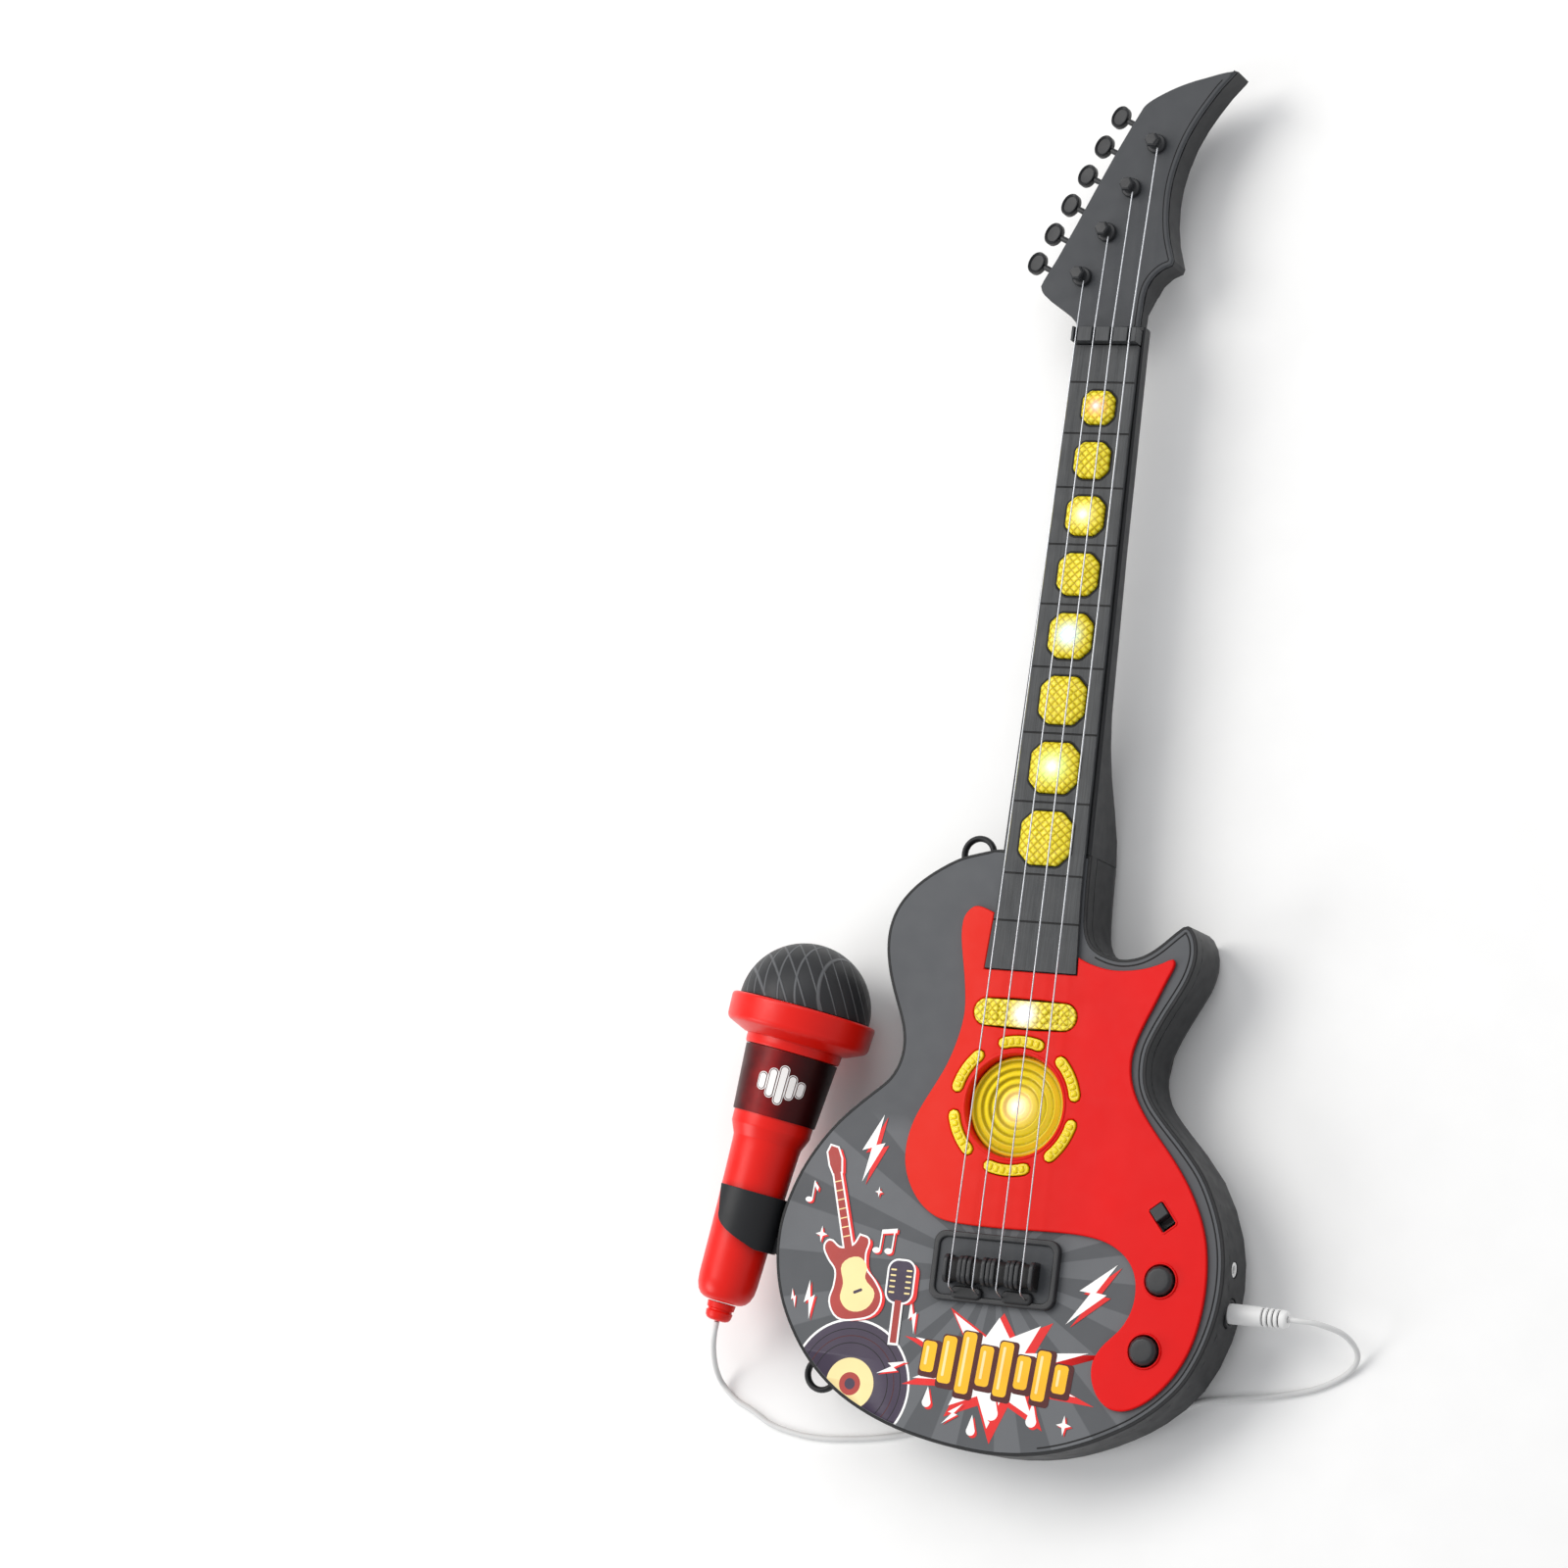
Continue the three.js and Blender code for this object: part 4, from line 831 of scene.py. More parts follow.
def make_key(number):
    """A cut-cornered key whose domed top is covered in small pebbles."""
    node = f"fret_key_{number}"
    at = middle(node)
    outline = as_loop(slices(node, KEY_CUT)[0])
    half = max(p.x for p in outline)
    rounded = refine(cut_corners(outline, 0.7), 15.0, 3)
    base, top = 34.6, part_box(node)[1].z / MM
    rise = top - BOARD_Z
    rings = 26
    levels = [(1.0, base), (1.0, BOARD_Z + 0.6), (0.985, BOARD_Z + 1.3)]
    for k in range(1, rings):
        share = 1 - k / rings
        levels.append((0.97 * share, BOARD_Z + 1.5 + (rise - 1.9) * (1 - share ** 2.4)))
    cell = half / 3.5
    points = []
    for n, (share, z) in enumerate(levels):
        for p in rounded:
            x, y = (p.x - at.x) * share, (p.y - at.y) * share
            pebble = 0
            if n > 2:
                u, v = (x + y) / cell / 1.414, (x - y) / cell / 1.414
                pebble = 0.5 * (abs(math.cos(math.pi * u)) * abs(math.cos(math.pi * v))) ** 0.6
                pebble *= min(1.0, (1 - share) * 9)
            points.append((at.x + x, at.y + y, z + pebble - 0.05))
    mesh = build(points, ring_faces(len(rounded), len(levels), closed=True), 50)
    if number in LIT_KEYS:
        lamp = (at.x, at.y, top)
        look = lens(node + "_lit", "efd608", LIT_KEYS[number], lamp, half * 0.95, 1.1, 2.7).material
    else:
        look = MATERIALS["key_lens"]
    add_piece(node + "_cap", mesh, look, [node], body=node)
    # Painted shade: a dark frame fills the gap round the key's hole in the fingerboard.
    outside, inside = loop_inset(rounded, -1.15), loop_inset(rounded, -0.35)
    well = plate(outside, [inside], BOARD_Z - 1.0, BOARD_Z + 0.12, 0.1, 2)
    add_piece(node + "_well", well, "groove", slot="fingerboard_plastic")


def cut_corners(loop, length):
    """Replaces each corner of a loop by two points at that distance from it."""
    cut = []
    for before, here, after in around(loop):
        cut.append(here + (before - here).normalized() * length)
        cut.append(here + (after - here).normalized() * length)
    return cut


# ---------------------------------------------------------------- strings, tuners, bridge
def make_strings():
    for i in range(STRINGS):
        node = f"string_{i + 1}"
        co = [v.co / MM for v in frame["nodes"][node].data.vertices]
        top = max(co, key=lambda p: p.y)
        near_nut = [p for p in co if p.y > 325 and p.z > 44]
        nut_x = (min(p.x for p in near_nut if p.y < 333) + max(p.x for p in near_nut if p.y < 333)) / 2
        saddle = [p for p in co if p.z > 48.5]
        bridge_x = (min(p.x for p in saddle) + max(p.x for p in saddle)) / 2
        saddle_z = max(p.z for p in saddle) - CAD_STRING_R
        front, rear = max(p.y for p in saddle), min(p.y for p in saddle)
        path = [Vector(p) for p in (
            (top.x, top.y - 0.3, 39.4), (nut_x, 339.0, 44.85), (nut_x, 331.8, 44.85),
            (bridge_x, front, saddle_z), (bridge_x, rear + 0.8, saddle_z - 0.05),
            (bridge_x, rear - 0.3, saddle_z - 1.2), (bridge_x, rear - 1.8, 43.2),
            (bridge_x, rear - 2.0, 42.6))]
        add_piece(node + "_wire", tube(path, STRING_R, 10), "steel", [node])


def make_posts():
    collar = [(0, 33), (2.7, 33), (2.7, 34.45), (4.1, 34.5), (4.3, 34.9), (4.3, 36.2), (3.9, 36.8),
              (3.0, 37.1), (2.5, 37.8), (2.3, 39.0), (2.5, 40.3), (2.0, 40.5), (0, 40.5)]
    cap = [(0, 40.2), (2.6, 40.2), (3.3, 40.9), (3.4, 41.6), (3.1, 42.6), (2.4, 43.05), (0, 43.1)]
    for i in range(STRINGS):
        node = f"string_post_{i + 1}"
        at = middle(node)
        place = upright(at.x, at.y)
        add_piece(node + "_collar", lathe(collar, place, 40), "graphite", [node])
        add_piece(node + "_cap", lathe(cap, place, 6, 20), "graphite", slot="graphite_plastic")


def make_tuners():
    sides = 40
    levels = [(0.25, -1.2), (0.7, -1.25), (0.84, -2.0), (0.93, -2.2), (1.0, -1.5), (1.0, 1.5), (0.93, 2.2),
              (0.84, 2.0), (0.7, 1.25), (0.25, 1.2)]
    across, upwards = TUNER_STEP
    out = Vector((-upwards, across, 0)).normalized()
    along = Vector((across, upwards, 0)).normalized()
    for i in range(TUNERS):
        node = f"tuner_key_{i + 1}"
        co = [v.co / MM for v in frame["nodes"][node].data.vertices]
        first = Vector((-43.1 + across * i, 372.2 + upwards * i, middle(node).z))
        points = []
        for share, rise in levels:
            for k in range(sides):
                a = 2 * math.pi * k / sides
                waist = 1 + 0.04 * math.cos(2 * a)
                p = first + along * 5.3 * share * math.sin(a) * waist + out * 3.7 * share * math.cos(a)
                points.append(p + Vector((0, 0, rise)))
        mesh = build(points, ring_faces(sides, len(levels), closed=True), 40)
        add_piece(node + "_paddle", mesh, "graphite", [node])
        reach = max((p - first).dot(-out) for p in co)
        stem = [first - out * (4.0 + (reach - 4.0) * s) for s in (0.0, 0.2, 0.5, 0.8, 1.0)]
        mesh = tube(stem, lambda share: 1.3 + 0.9 * max(0.0, share - 0.55) / 0.45, 16)
        add_piece(node + "_stem", mesh, "graphite", slot="graphite_plastic")


def make_bridge():
    at = middle("bridge_plate")
    low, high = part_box("bridge_plate")
    length, width = (high.x - low.x) / MM, (high.y - low.y) / MM
    outer = rounded_box(at.x, at.y, length, width, 5, 10)
    inner = rounded_box(at.x, at.y, length - 5.4, width - 5.4, 3.4, 8)
    border = plate(outer, [inner], FACE_Z + 0.3, 41.3, 0.7, 5)
    add_piece("bridge_frame", border, "graphite", ["bridge_plate"])
    base = rounded_box(at.x, at.y, length - 4.6, width - 4.6, 3.6, 8)
    add_piece("bridge_floor", plate(base, [], FACE_Z + 0.3, 40.1, 0), "plain_face", slot="graphite_plastic")
    saddle_low, saddle_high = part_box("bridge_saddle")
    front, rear, top = saddle_high.y / MM, saddle_low.y / MM, saddle_high.z / MM
    # Fins under a string are lower, and the others stand at two heights in turn. pitch is the strings'.
    pitch, fins, fin_step = 10.8, 19, 2.16
    for i in range(fins):
        x = at.x + (i - (fins - 1) / 2) * fin_step
        beside = abs((x - at.x) / pitch - 0.5 - math.floor((x - at.x) / pitch - 0.5 + 0.5))
        drop = 1.3 if beside < 0.12 else 0.35 if i % 2 else 0.1
        mesh = saddle_block(x, 1.75, front - drop, rear + drop, top - drop)
        add_piece(f"saddle_fin_{i + 1}", mesh, "graphite", ["bridge_saddle"] if i == 0 else (),
                  slot="graphite_plastic")
    # Painted shade: a dark core fills the gaps between the fins.
    core = saddle_block(at.x, fins * fin_step, front - 1.2, rear + 1.2, top - 1.2)
    add_piece("saddle_core_shade", core, "groove", slot="graphite_plastic")
    for i, x in enumerate((-11, 12)):
        foot = plate(rounded_box(at.x + x, -80.4, 14, 5.4, 2.4, 8), [], 39.8, 42.4, 0.9, 5)
        add_piece(f"bridge_foot_{i + 1}", foot, "black", slot="graphite_plastic")


def saddle_block(x, wide, front, rear, top):
    """A fin or the core of the saddle: a hump with rounded front and back and a flat crown."""
    side = [Vector((rear, 40.3)), Vector((rear, top - 3.4))]
    side += [Vector((rear + 3.2 * (1 - math.cos(a)), top - 3.4 + 3.4 * math.sin(a)))
             for a in [math.pi / 2 * k / 6 for k in range(1, 7)]]
    side += [Vector((front - 3.2 * (1 - math.sin(a)), top - 3.4 + 3.4 * math.cos(a)))
             for a in [math.pi / 2 * k / 6 for k in range(7)]]
    side += [Vector((front, 40.3))]
    half = wide / 2
    chamfer = 0.3
    centre = sum(side, Vector((0, 0))) / len(side)
    points = []
    for offset, shrink in ((-half, 0.93), (-half + chamfer, 1.0), (half - chamfer, 1.0), (half, 0.93)):
        for p in side:
            q = centre + (p - centre) * shrink
            points.append((x + offset, q.x, max(q.y, 40.3)))
    return build(points, ring_faces(len(side), 4, closed=True), 30)


def make_controls():
    for node in ("melody_button", "volume_button"):
        at = middle(node)
        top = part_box(node)[1].z / MM
        profile = [(0, 34), (6.1, 34), (6.1, top - 1.7), (5.95, top - 1.3), (5.1, top - 0.25),
                   (4.7, top - 0.08), (4.2, top), (2, top), (0, top)]
        mesh = lathe(profile, upright(at.x, at.y), 12, 25)
        soften(add_piece(node + "_cap", mesh, "graphite", [node], body=node), 0.25, 2, 25)
    skin("power_switch", "graphite", 0.4, 35, 3)
    switch = middle("power_switch").to_2d()
    holes = slices("front_casing", CASING_CUT)[1:]
    slot_loop = as_loop(min(holes, key=lambda p: (sum(p, Vector((0, 0))) / len(p) - switch).length))
    rim = plate(loop_inset(slot_loop, -0.75), [loop_inset(slot_loop, -0.02)], 39.4, 40.35, 0.25, 3)
    add_piece("switch_rim", rim, "red", slot="red_gloss_plastic")
    skin("jack_socket", "black", 0.2)
    skin("aux_socket", "white", 0.2)


# ---------------------------------------------------------------- strap loops and microphone
STRAPS = {"strap_loop_upper": (-38.2, 105.0, 97.0), "strap_loop_lower": (-78.9, -116.7, 233.0)}


def make_straps():
    for node, (x, y, heading) in STRAPS.items():
        turn = Matrix.Rotation(math.radians(heading), 2)
        z = middle(node).z
        straight, radius = 4.35, 6.8
        start, shoulder = -3.0, 0.8
        flat = [Vector((start, -radius)), Vector((shoulder, -radius))]
        flat += arc(straight, 0, radius, -90, 90, 18) + [Vector((shoulder, radius)), Vector((start, radius))]
        path = [Vector((x + q.x, y + q.y, z)) for q in [turn @ p for p in flat]]
        add_piece(node + "_bar", tube(path, 1.35, 16, flat=1.45), "black", [node])


def make_microphone():
    place = mic_place()

    def turned(name, profile, look, sides=96, sharp=40):
        add_piece(name, lathe(profile, place, sides, sharp), look, ["mic_" + name.split("_")[0]],
                  body="microphone")

    wall = 26.4
    steps = 60
    dome = [(wall, DOME_START)]
    for k in range(steps + 1):
        a = math.pi / 2 * k / steps
        dome.append((28.8 * math.cos(a) if k < steps else 0.0, DOME_START + 28.4 * math.sin(a)))
    dome += [(0.0, DOME_START + 26.0)]
    for k in range(1, 13):
        a = math.pi / 2 * (1 - k / 12)
        dome.append((wall * math.cos(a), DOME_START + 26.0 * math.sin(a)))
    turned("grille", dome, "grille", 264, 60)
    collar = [(21.5, 77.6), (22.4, 77.7), (23.2, 78.0), (29.8, 80.9), (30.7, 81.5), (31.3, 82.3),
              (31.6, 83.4), (32.0, 91.4), (31.9, 92.3), (31.5, 92.9), (30.6, 93.2), (29.6, 93.2),
              (29.3, 92.6), (26.0, 92.4), (21.5, 92.4), (21.5, 77.6)]
    turned("collar", collar, "mic_red")
    handle = [(0, -37.5), (7.0, -37.6), (8.6, -37.2), (10.2, -36.2), (11.6, -34.4), (12.6, -31.6),
              (13.0, -28.0), (13.4, -10), (13.8, 4), (14.15, 12), (14.5, 22), (14.9, 31), (15.1, 33.6),
              (15.3, 34.2), (17.2, 38.6), (17.45, 39.3), (17.6, 44.0), (17.6, 73.2), (20.6, 73.4),
              (20.95, 74.2), (21.1, 76), (21.1, 81.4), (11.6, 81.4), (11.6, -30), (0, -30)]
    turned("handle", handle, "mic_red")
    sleeve = [(17.7, 44.3), (18.15, 44.3), (18.35, 44.7), (20.4, 72.5), (20.3, 72.95), (17.7, 73.0),
              (17.7, 44.3)]
    turned("label_sleeve", sleeve, "label")
    boot = [(0, -46), (2.6, -46), (3.6, -45.9), (4.9, -45.3), (5.6, -44.2), (5.9, -42.2), (5.3, -41.6),
            (5.3, -41.0), (6.0, -40.6), (6.2, -38.1), (0, -38.1)]
    turned("boot", boot, "mic_red", 48)
    keep("mic_capsule", "steel")
    make_label_motif(place)
    make_clip(place)


def make_label_motif(place):
    """Five sound-level bars with pale outlines in place of the sticker, bent round the sleeve."""
    heights = (5.5, 9.5, 13.0, 8.0, 5.0)
    facing = math.radians(67)
    base_r, base_v, top_r, rise = 18.42, 44.7, 20.45, 27.8
    layers = ((1.1, 0.06, "ink_white"), (0.35, 0.14, "ink_maroon"), (-0.35, 0.22, "ink_white"))
    for layer, (grow, lift, look) in enumerate(layers):
        for i, height in enumerate(heights):
            wide, tall = 3.2 + grow, 1.25 * height + grow
            outline = rounded_box((i - 2) * 4.3, 58.6, wide, tall, min(wide, tall) / 2 - 0.05, 5)
            mesh = plate(outline, [], 0, 0.07, 0)
            for vertex in mesh.vertices:
                u, v, w = vertex.co / MM
                radius = base_r + (v - base_v) * (top_r - base_r) / rise + lift + w
                angle = facing - u / 19.4
                spot = place @ Vector((radius * math.cos(angle), v, radius * math.sin(angle)))
                vertex.co = spot * MM
            name = f"label_motif_{layer + 1}_{i + 1}"
            add_piece(name, mesh, look, slot="label_plastic", body="microphone")


def make_clip(place):
    """A springy sleeve whose open edge sweeps back, with a web and a foot on the rim."""
    inner, outer = 14.75, 16.35
    front, rear = 11.6, -12.2
    rows, columns = 24, 48
    points, faces = [], []

    def upper_edge(v):
        share = (front - v) / (front - rear)
        return 126 - 13 * min(share / 0.48, 1) - 75 * max(0.0, (share - 0.48) / 0.52) ** 2.2

    for radius in (outer, inner):
        for r in range(rows + 1):
            v = rear + (front - rear) * r / rows
            top = upper_edge(v)
            for c in range(columns + 1):
                a = math.radians(-100 + (top + 100) * c / columns)
                points.append(place @ Vector((radius * math.cos(a), v, radius * math.sin(a))))
    wide = columns + 1
    skin_size = (rows + 1) * wide
    for r in range(rows):
        for c in range(columns):
            a = r * wide + c
            faces.append((a, a + 1, a + wide + 1, a + wide))
            faces.append((a + skin_size, a + skin_size + wide, a + skin_size + wide + 1, a + skin_size + 1))
    rim = list(range(wide)) + [r * wide + columns for r in range(1, rows + 1)]
    rim += [rows * wide + c for c in range(columns - 1, -1, -1)] + [r * wide for r in range(rows - 1, 0, -1)]
    for a, b in zip(rim, rim[1:] + rim[:1]):
        faces.append((a, b, b + skin_size, a + skin_size))
    clip = add_piece("clip_sleeve", build(points, faces, 40), "black", ["mic_clip"])
    soften(clip, 0.35, 3, 50)
    for name, spans in (("clip_web", (-9.2, 10.6, 21.5, 31.0)), ("clip_foot", (-11.6, -4.4, 20.5, 32.6))):
        soften(add_piece(name, clip_block(*spans, place), "black", slot="black_plastic"), 0.5, 3, 40)


def clip_block(v0, v1, z0, z1, place):
    """A block between the sleeve and the body's rim, whose far face follows the rim's curve."""
    left = [p for p in as_loop(slices("rear_casing", RIM_CUT)[0]) if p.x < -80]
    points, faces = [], []
    steps = 8
    for k in range(steps + 1):
        v = v0 + (v1 - v0) * k / steps
        start = place @ Vector((15.2, v, 0))
        heading = (place @ Vector((1, v, 0)) - place @ Vector((0, v, 0))).normalized()
        nearest = min(left, key=lambda p: abs((p.x - start.x) * heading.y - (p.y - start.y) * heading.x)
                      + (1000 if p.x > -94 else 0))
        reach = (nearest.x - start.x) * heading.x + (nearest.y - start.y) * heading.y + 0.3
        for distance in (0.0, reach):
            for z in (z0, z1):
                p = start + heading * distance
                points.append((p.x, p.y, z))
    for k in range(steps):
        a = k * 4
        faces += [(a, a + 4, a + 5, a + 1), (a + 2, a + 3, a + 7, a + 6), (a, a + 2, a + 6, a + 4),
                  (a + 1, a + 5, a + 7, a + 3)]
    faces += [(0, 1, 3, 2), (steps * 4, steps * 4 + 2, steps * 4 + 3, steps * 4 + 1)]
    return build(points, faces, 40)


# ---------------------------------------------------------------- printed motifs
BOLT = [(3.5, 10), (-4.2, -0.6), (-0.6, 0.2), (-3.6, -10), (4.4, 1.6), (0.9, 0.9)]
SPARK = [(0, 5), (0.9, 1.1), (4, 0), (0.9, -1.1), (0, -5), (-0.9, -1.1), (-4, 0), (-0.9, 1.1)]


def placed(outline, x, y, size=1.0, angle=0.0, stretch=1.0):
    turn = Matrix.Rotation(math.radians(angle), 2)
    return [turn @ Vector((p[0] * size * stretch, p[1] * size)) + Vector((x, y)) for p in outline]


class Print:
    """Stacks printed shapes, each LAYER_STEP above the last, cut at the face's edge and the panel."""

    def __init__(self, inside, outside):
        self.inside = inside
        self.outside = outside
        self.layer = 0

    def __call__(self, name, outline, look, holes=()):
        self.layer += 1
        height = PRINT_Z + LAYER_STEP * self.layer
        mesh = plate(outline, list(holes), height - LAYER_HALF, height + LAYER_HALF, 0)
        shape = add_piece(name, mesh, look, slot="body_face_plastic")
        for cutter, operation in ((self.inside, "INTERSECT"), (self.outside, "DIFFERENCE")):
            trim = shape.modifiers.new("trim", "BOOLEAN")
            trim.object, trim.operation, trim.solver = cutter, operation, "EXACT"
        evaluated = shape.evaluated_get(bpy.context.evaluated_depsgraph_get())
        trimmed = bpy.data.meshes.new_from_object(evaluated)
        shape.modifiers.clear()
        shape.data = trimmed

    def shadowed(self, name, loop, look, shift):
        """A shape over a red shadow that is the same shape moved by shift."""
        self(name + "_shadow", [p + Vector(shift) for p in loop], "ink_red")
        self(name, loop, look)


def make_cutter(outline):
    block = bpy.data.objects.new("cutter", plate(outline, [], FACE_Z - 3, FACE_Z + 4, 0))
    bpy.context.scene.collection.objects.link(block)
    return block


def make_print(face_loop):
    panel = refine(slices("pickguard", PANEL_CUT)[0])
    inside = make_cutter(loop_inset(face_loop, 0.2))
    outside = make_cutter(loop_inset(as_loop(panel), -0.15))
    bpy.context.view_layer.update()
    ink = Print(inside, outside)
    # The disc, low on the left.
    disc = Vector((-60.0, -123.5))
    sides = 71
    ink("disc_edge", arc(*disc, 27.6, 0, 355, sides), "ink_white")
    ink("disc", arc(*disc, 26.6, 0, 355, sides), "ink_plum")
    for i, r in enumerate((23.5, 20.5, 17.5)):
        ink(f"disc_groove_{i + 1}", arc(*disc, r, 0, 355, sides), "ink_maroon" if i % 2 else "groove",
            [arc(*disc, r - 0.35, 0, 355, sides)])
    ink("disc_label", arc(*disc, 11, 0, 354, 59), "ink_cream")
    ink("disc_middle", arc(*disc, 4.9, 0, 350, 35), "ink_brick")
    ink("disc_hole", arc(*disc, 2.4, 0, 345, 23), "ink_plum")

    # A burst with drips, low in the middle, with level bars in gold on it.
    burst = Vector((4.5, -109.5))
    flat = 0.72
    # How far each spike, and the dip after it, reaches.
    spikes = [(46, 17), (34, 19), (30, 18), (37, 15), (41, 19), (40, 18), (33, 20), (38, 19), (35, 18),
              (42, 16)]
    for name, look, grow, shift in (("burst_red", "ink_red", 1.12, (1.8, -1.6)),
                                    ("burst", "ink_white", 0.95, (0, 0))):
        loop = []
        for i, reaches in enumerate(spikes):
            for reach, a in zip(reaches, (math.radians(18 + 36 * i), math.radians(36 + 36 * i))):
                tip = Vector((reach * math.cos(a), flat * reach * math.sin(a))) * grow
                loop.append(burst + Vector(shift) + tip)
        ink(name, loop, look)
    drops = ((-24, -127.5, 2.0), (5.8, -129.0, 3.0), (-2.5, -137.2, 2.0), (24, -130.5, 2.4))
    for i, (x, y, r) in enumerate(drops):
        drop = arc(x, y, r, 150, 390, 16) + [Vector((x, y + 3.4 * r))]
        ink.shadowed(f"drop_{i + 1}", drop, "ink_white", (1.1, -0.9))
    bars = [13, 20, 26, 17, 23, 14, 21, 12]
    for name, look, grow, shift in (("level_shadow", "ink_maroon", 2.8, (0.9, -0.9)),
                                    ("level", "ink_gold", 0, (0, 0)),
                                    ("level_light", "ink_cream", -3.4, (-0.9, 0.4))):
        for i, tall in enumerate(bars):
            width, height = (6.2 + grow, tall + grow) if name != "level_light" else (1.2, tall - 5.0)
            bar = rounded_box(0, 0, width, height, min(1.6, width / 2 - 0.1), 4)
            x = burst.x - 30 + 8.6 * i
            y = burst.y + 1.2 - 0.5 * i
            ink(f"{name}_{i + 1}", placed(bar, x + shift[0], y + shift[1], 1.0, -4.0), look)

    # Bolts, sparks and notes.
    bolts = [(-62.6, -23.2, 1.45, 4, 0.85), (-83.5, -90.0, 0.8, 22, 0.85), (-91.0, -90.0, 0.4, 30, 0.8),
             (-41.6, -114.6, 0.72, -48, 0.85), (44.4, -75.5, 1.6, -20, 0.85), (-35.0, -92.5, 0.72, 26, 0.75),
             (-11.6, -131.0, 0.62, -28, 0.8)]
    for i, (x, y, size, angle, stretch) in enumerate(bolts):
        loop = placed(BOLT, x, y, size, angle, stretch)
        ink.shadowed(f"bolt_{i + 1}", loop, "ink_white", Vector((1.6, -0.9)) * size * 0.8)
    for i, (x, y, size) in enumerate(((-81.7, -61.7, 0.7), (38.7, -130.5, 0.85), (-57.5, -41.5, 0.45))):
        ink.shadowed(f"spark_{i + 1}", placed(SPARK, x, y, size), "ink_white", (0.8, -0.6))
    note(ink, "note_1", -89.6, -47.5, 1.1, False)
    note(ink, "note_2", -55.4, -66.2, 1.2, True)
    small_guitar(ink, -65.6, -75.6)
    studio_microphone(ink, -42.4, -78.4)
    for block in (inside, outside):
        bpy.data.objects.remove(block)


def note(ink, name, x, y, size, pair):
    """One note, or two joined by a beam, over a shadow."""
    stem = [(1.0, 0), (1.55, 0), (1.95, 7.4), (1.4, 7.4)]
    flag = [(1.4, 7.4), (3.6, 5.0), (3.2, 3.4), (1.9, 5.4)]
    beam = [(1.3, 5.9), (7.2, 6.7), (7.3, 8.3), (1.4, 7.4)]

    def drawn(spot, outline, foot=0.0):
        return [spot + Vector((foot + px * size, py * size)) for px, py in outline]

    for layer, (shift, look) in enumerate((((0.9, -0.6), "ink_red"), ((0, 0), "ink_white"))):
        spot = Vector((x, y)) + Vector(shift)
        for k, foot in enumerate((0.0, 5.6) if pair else (0.0,)):
            head = [spot + Vector((foot + 1.5 * math.cos(a) * size, 1.05 * math.sin(a) * size))
                    for a in [2 * math.pi * i / 20 for i in range(20)]]
            ink(f"{name}_head_{layer}_{k}", head, look)
            ink(f"{name}_stem_{layer}_{k}", drawn(spot, stem, foot), look)
        ink(f"{name}_tail_{layer}", drawn(spot, beam if pair else flag), look)


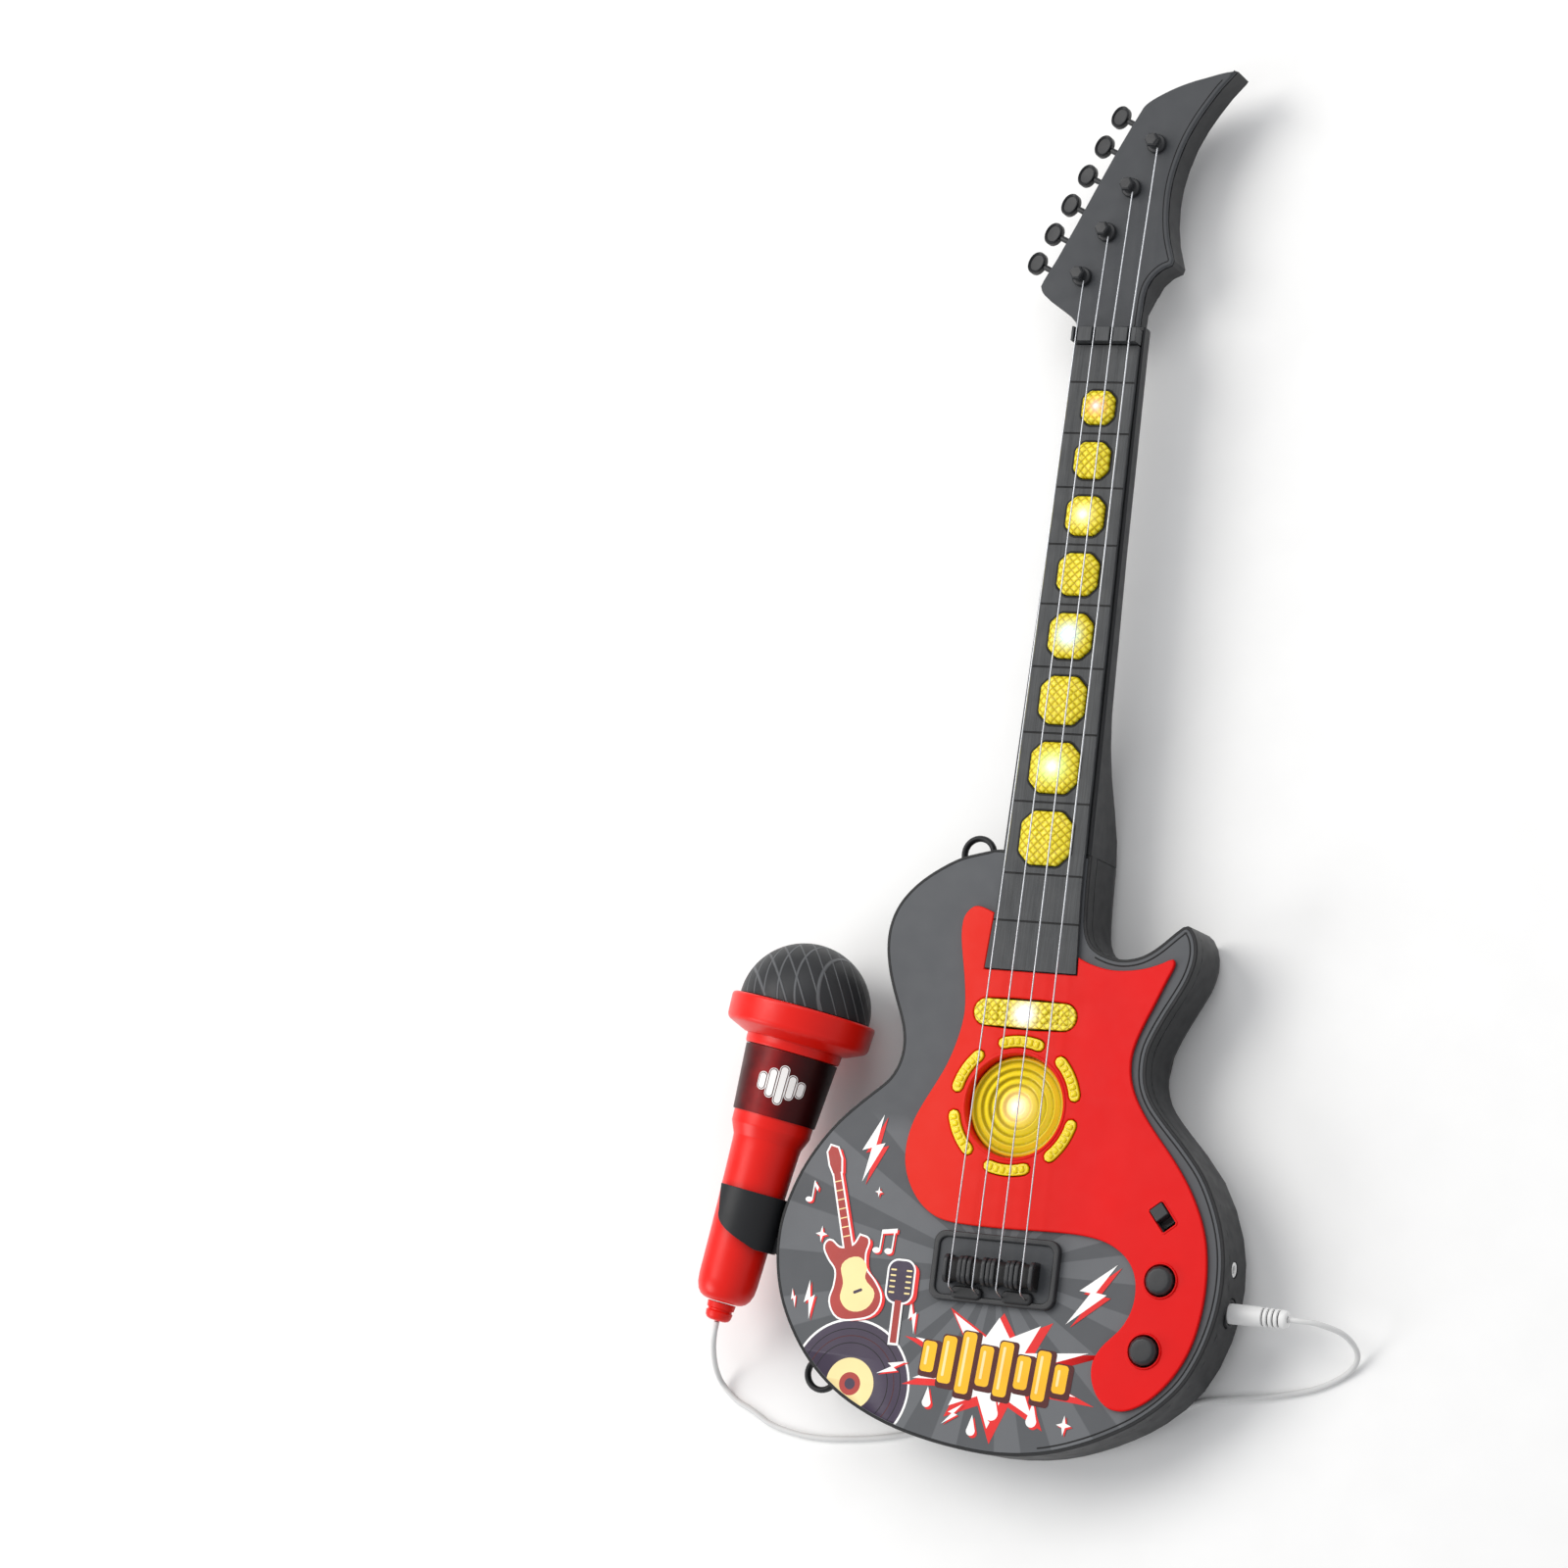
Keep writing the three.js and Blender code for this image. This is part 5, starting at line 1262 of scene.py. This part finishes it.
def small_guitar(ink, x, y):
    """A plain little guitar: a rounded body, a pale panel, a neck with frets and a small head."""
    size, lean = 0.8, 17.0

    def curved(points):
        return refine([Vector(p) for p in points], 80.0, 4)

    body = curved(((0, 12), (-5, 13), (-10, 18), (-13, 16), (-12, 9), (-9, 2), (-11, -6), (-15, -14),
                   (-12, -23), (-2, -26), (9, -25), (14, -18), (12, -9), (8, -1), (9, 7), (12, 14), (8, 17),
                   (4, 13)))
    neck = [(-2.2, 12), (2.2, 12), (1.9, 54), (-1.9, 54)]
    head = [(-2.2, 53), (2.4, 53), (3.6, 60), (2.6, 66), (-1.0, 68), (-3.4, 65), (-3.4, 58)]
    panel = curved(((-5, 4), (5, 6), (9, 0), (7, -6), (11, -15), (5, -22), (-5, -21), (-9, -14), (-6, -6)))
    parts = {name: placed(outline, x, y, size, lean)
             for name, outline in (("body", body), ("neck", neck), ("head", head))}
    for name, loop in parts.items():
        ink(f"guitar_{name}_shadow", [p + Vector((2.2, -0.6)) for p in loop], "ink_red")
    for name, loop in parts.items():
        ink(f"guitar_{name}_edge", loop_inset(as_loop(loop), -0.8), "ink_white")
    for name, loop in parts.items():
        ink(f"guitar_{name}", loop, "ink_brick")
    ink("guitar_panel", placed(panel, x, y, size, lean), "ink_cream")
    for i in range(7):
        low = 18 + 5 * i
        high = 18.6 + 5 * i
        fret = [(-2.0, low), (2.0, low), (2.0, high), (-2.0, high)]
        ink(f"guitar_fret_{i + 1}", placed(fret, x, y, size, lean), "ink_cream")
    ink("guitar_bridge", placed(rounded_box(0, -12, 5.4, 1.6, 0.7, 3), x, y, size, lean + 8), "ink_plum")


def studio_microphone(ink, x, y):
    """A plain microphone on a stem: a rounded capsule with slots."""
    capsule = rounded_box(0, 0, 11.5, 17.5, 4.2, 8)
    stem = [(-1.5, -26), (1.5, -26), (1.5, -8), (-1.5, -8)]
    ink("capsule_shadow", placed(capsule, x + 2.6, y - 0.8), "ink_red")
    ink("stem_edge", placed([(-2.4, -27), (2.4, -27), (2.4, -8), (-2.4, -8)], x, y), "ink_white")
    ink("capsule_edge", placed(rounded_box(0, 0, 13.2, 19.2, 5, 8), x, y), "ink_white")
    ink("capsule", placed(capsule, x, y), "ink_plum")
    ink("stem", placed(stem, x, y), "ink_brick")
    for i in range(5):
        for side, word in ((-1, "left"), (1, "right")):
            slot_loop = rounded_box(side * 3.6, 4.8 - 2.4 * i, 2.6, 0.7, 0.3, 3)
            ink(f"capsule_slot_{i + 1}_{word}", placed(slot_loop, x, y), "ink_cream")


# ---------------------------------------------------------------- assembly
def make_inner_parts():
    for i in range(1, 4):
        keep(f"battery_{i}", "cell")
    for node, look in (("speaker", "cone"), ("main_board", "board"), ("key_board", "board"),
                       ("key_pad_strip", "rubber"), ("door_screw", "steel")):
        keep(node, look)


def make_floor():
    mesh = bpy.data.meshes.new("floor")
    half = 6.0
    corners = [(-half, -half, 0), (half, -half, 0), (half, half, 0), (-half, half, 0)]
    mesh.from_pydata(corners, [], [(0, 1, 2, 3)])
    floor = bpy.data.objects.new("floor", mesh)
    bpy.context.scene.collection.objects.link(floor)
    mesh.materials.append(plastic("floor_paint", "f6f6f5", 0.8, grain=0.0, spread=0.01).material)


make_camera()
make_materials()
make_lead()
make_studio()
make_floor()
face_outline = make_body()
make_neck()
make_panel()
make_disc()
make_arcs_and_bar()
for key_number in range(1, KEYS + 1):
    make_key(key_number)
make_strings()
make_posts()
make_tuners()
make_bridge()
make_controls()
make_straps()
make_microphone()
make_print(face_outline)
make_inner_parts()
